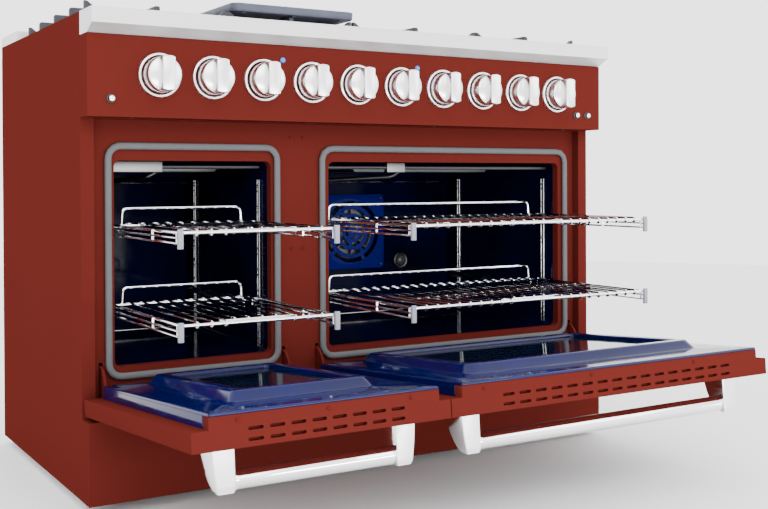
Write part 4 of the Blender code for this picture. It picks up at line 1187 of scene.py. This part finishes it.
# ================================================================ floor, light and camera
def make_floor():
    turns = [2 * math.pi * step / 64 for step in range(64)]
    outline = [(FLOOR_RADIUS * math.cos(turn), FLOOR_RADIUS * math.sin(turn)) for turn in turns]
    floor = shape("studio_floor", lambda mesh: add_prism(mesh, outline, "z", -0.02, -0.0002))
    material, tree, shader = new_finish("studio_white", (0.86, 0.86, 0.86), 0.9)
    tint(tree, shader, noise(tree, 2.0), (0.855, 0.855, 0.855), (0.865, 0.865, 0.865))
    floor.data.materials.append(material)


def soft_light(name, place, target, size, power):
    lamp = bpy.data.lights.new(name, "AREA")
    lamp.shape = "RECTANGLE"
    lamp.size, lamp.size_y = size
    lamp.energy = power
    item = bpy.data.objects.new(name, lamp)
    item.location = place
    item.rotation_euler = (Vector(target) - Vector(place)).to_track_quat("-Z", "Y").to_euler()
    bpy.context.scene.collection.objects.link(item)


def make_light():
    world = bpy.data.worlds.new("studio_air")
    world.use_nodes = True
    back = world.node_tree.nodes["Background"]
    back.inputs["Color"].default_value = (1.0, 1.0, 1.0, 1.0)
    back.inputs["Strength"].default_value = 3.0
    bpy.context.scene.world = world
    soft_light("key", (-0.6, -4.0, 2.6), (0.0, 0.0, 0.5), (3.0, 2.0), 75.0)
    soft_light("low_fill", (0.1, -2.6, 0.25), (0.0, 0.0, 0.12), (2.4, 0.3), 34.0)
    soft_light("fill", (2.8, -2.6, 1.6), (0.2, 0.0, 0.5), (1.6, 1.6), 25.0)


def make_camera():
    lens = bpy.data.cameras.new("camera")
    lens.sensor_width = 36.0
    lens.lens = 51.25
    lens.shift_x = 0.0028
    lens.shift_y = -0.0823
    lens.clip_start = 0.05
    camera = bpy.data.objects.new("camera", lens)
    bpy.context.scene.collection.objects.link(camera)
    yaw, pitch, roll = math.radians(31.43), math.radians(-0.52), math.radians(-0.25)
    facing = Vector((math.sin(yaw) * math.cos(pitch), math.cos(yaw) * math.cos(pitch), math.sin(pitch)))
    level = Vector((math.cos(yaw), -math.sin(yaw), 0.0))
    upright = level.cross(facing)
    right = math.cos(roll) * level + math.sin(roll) * upright
    up = math.cos(roll) * upright - math.sin(roll) * level
    turn = Matrix((right, up, -facing)).transposed().to_4x4()
    camera.matrix_world = Matrix.Translation((-1.1799, -2.0359, 0.6016)) @ turn
    bpy.context.scene.camera = camera


# ================================================================ assembly
def assemble():
    finish_cad_parts()
    for index, x in enumerate(KNOB_X, 1):
        knob(index, x)
    fascia_fittings()
    for name, x in BUTTONS.items():
        button(name, x)
    for side in OVENS:
        door_skin(side)
        door_liner(side)
        door_outer_window(side)
        door_handle(side)
        door_screws(side)
        seal(side)
        rack_ladders(side)
        broiler(side)
        for level_name in RACK_LEVELS:
            rack(side, level_name)
    oven_lamp("left_oven_lamp", -0.4800, 0.540)
    oven_lamp("right_oven_lamp", 0.3845, 0.391)
    fan_guard()
    frame_screws()
    for index in range(1, 5):
        grate(index)
        burners(index)
    griddle()


assemble()
make_floor()
make_light()
make_camera()

bpy.context.view_layer.update()
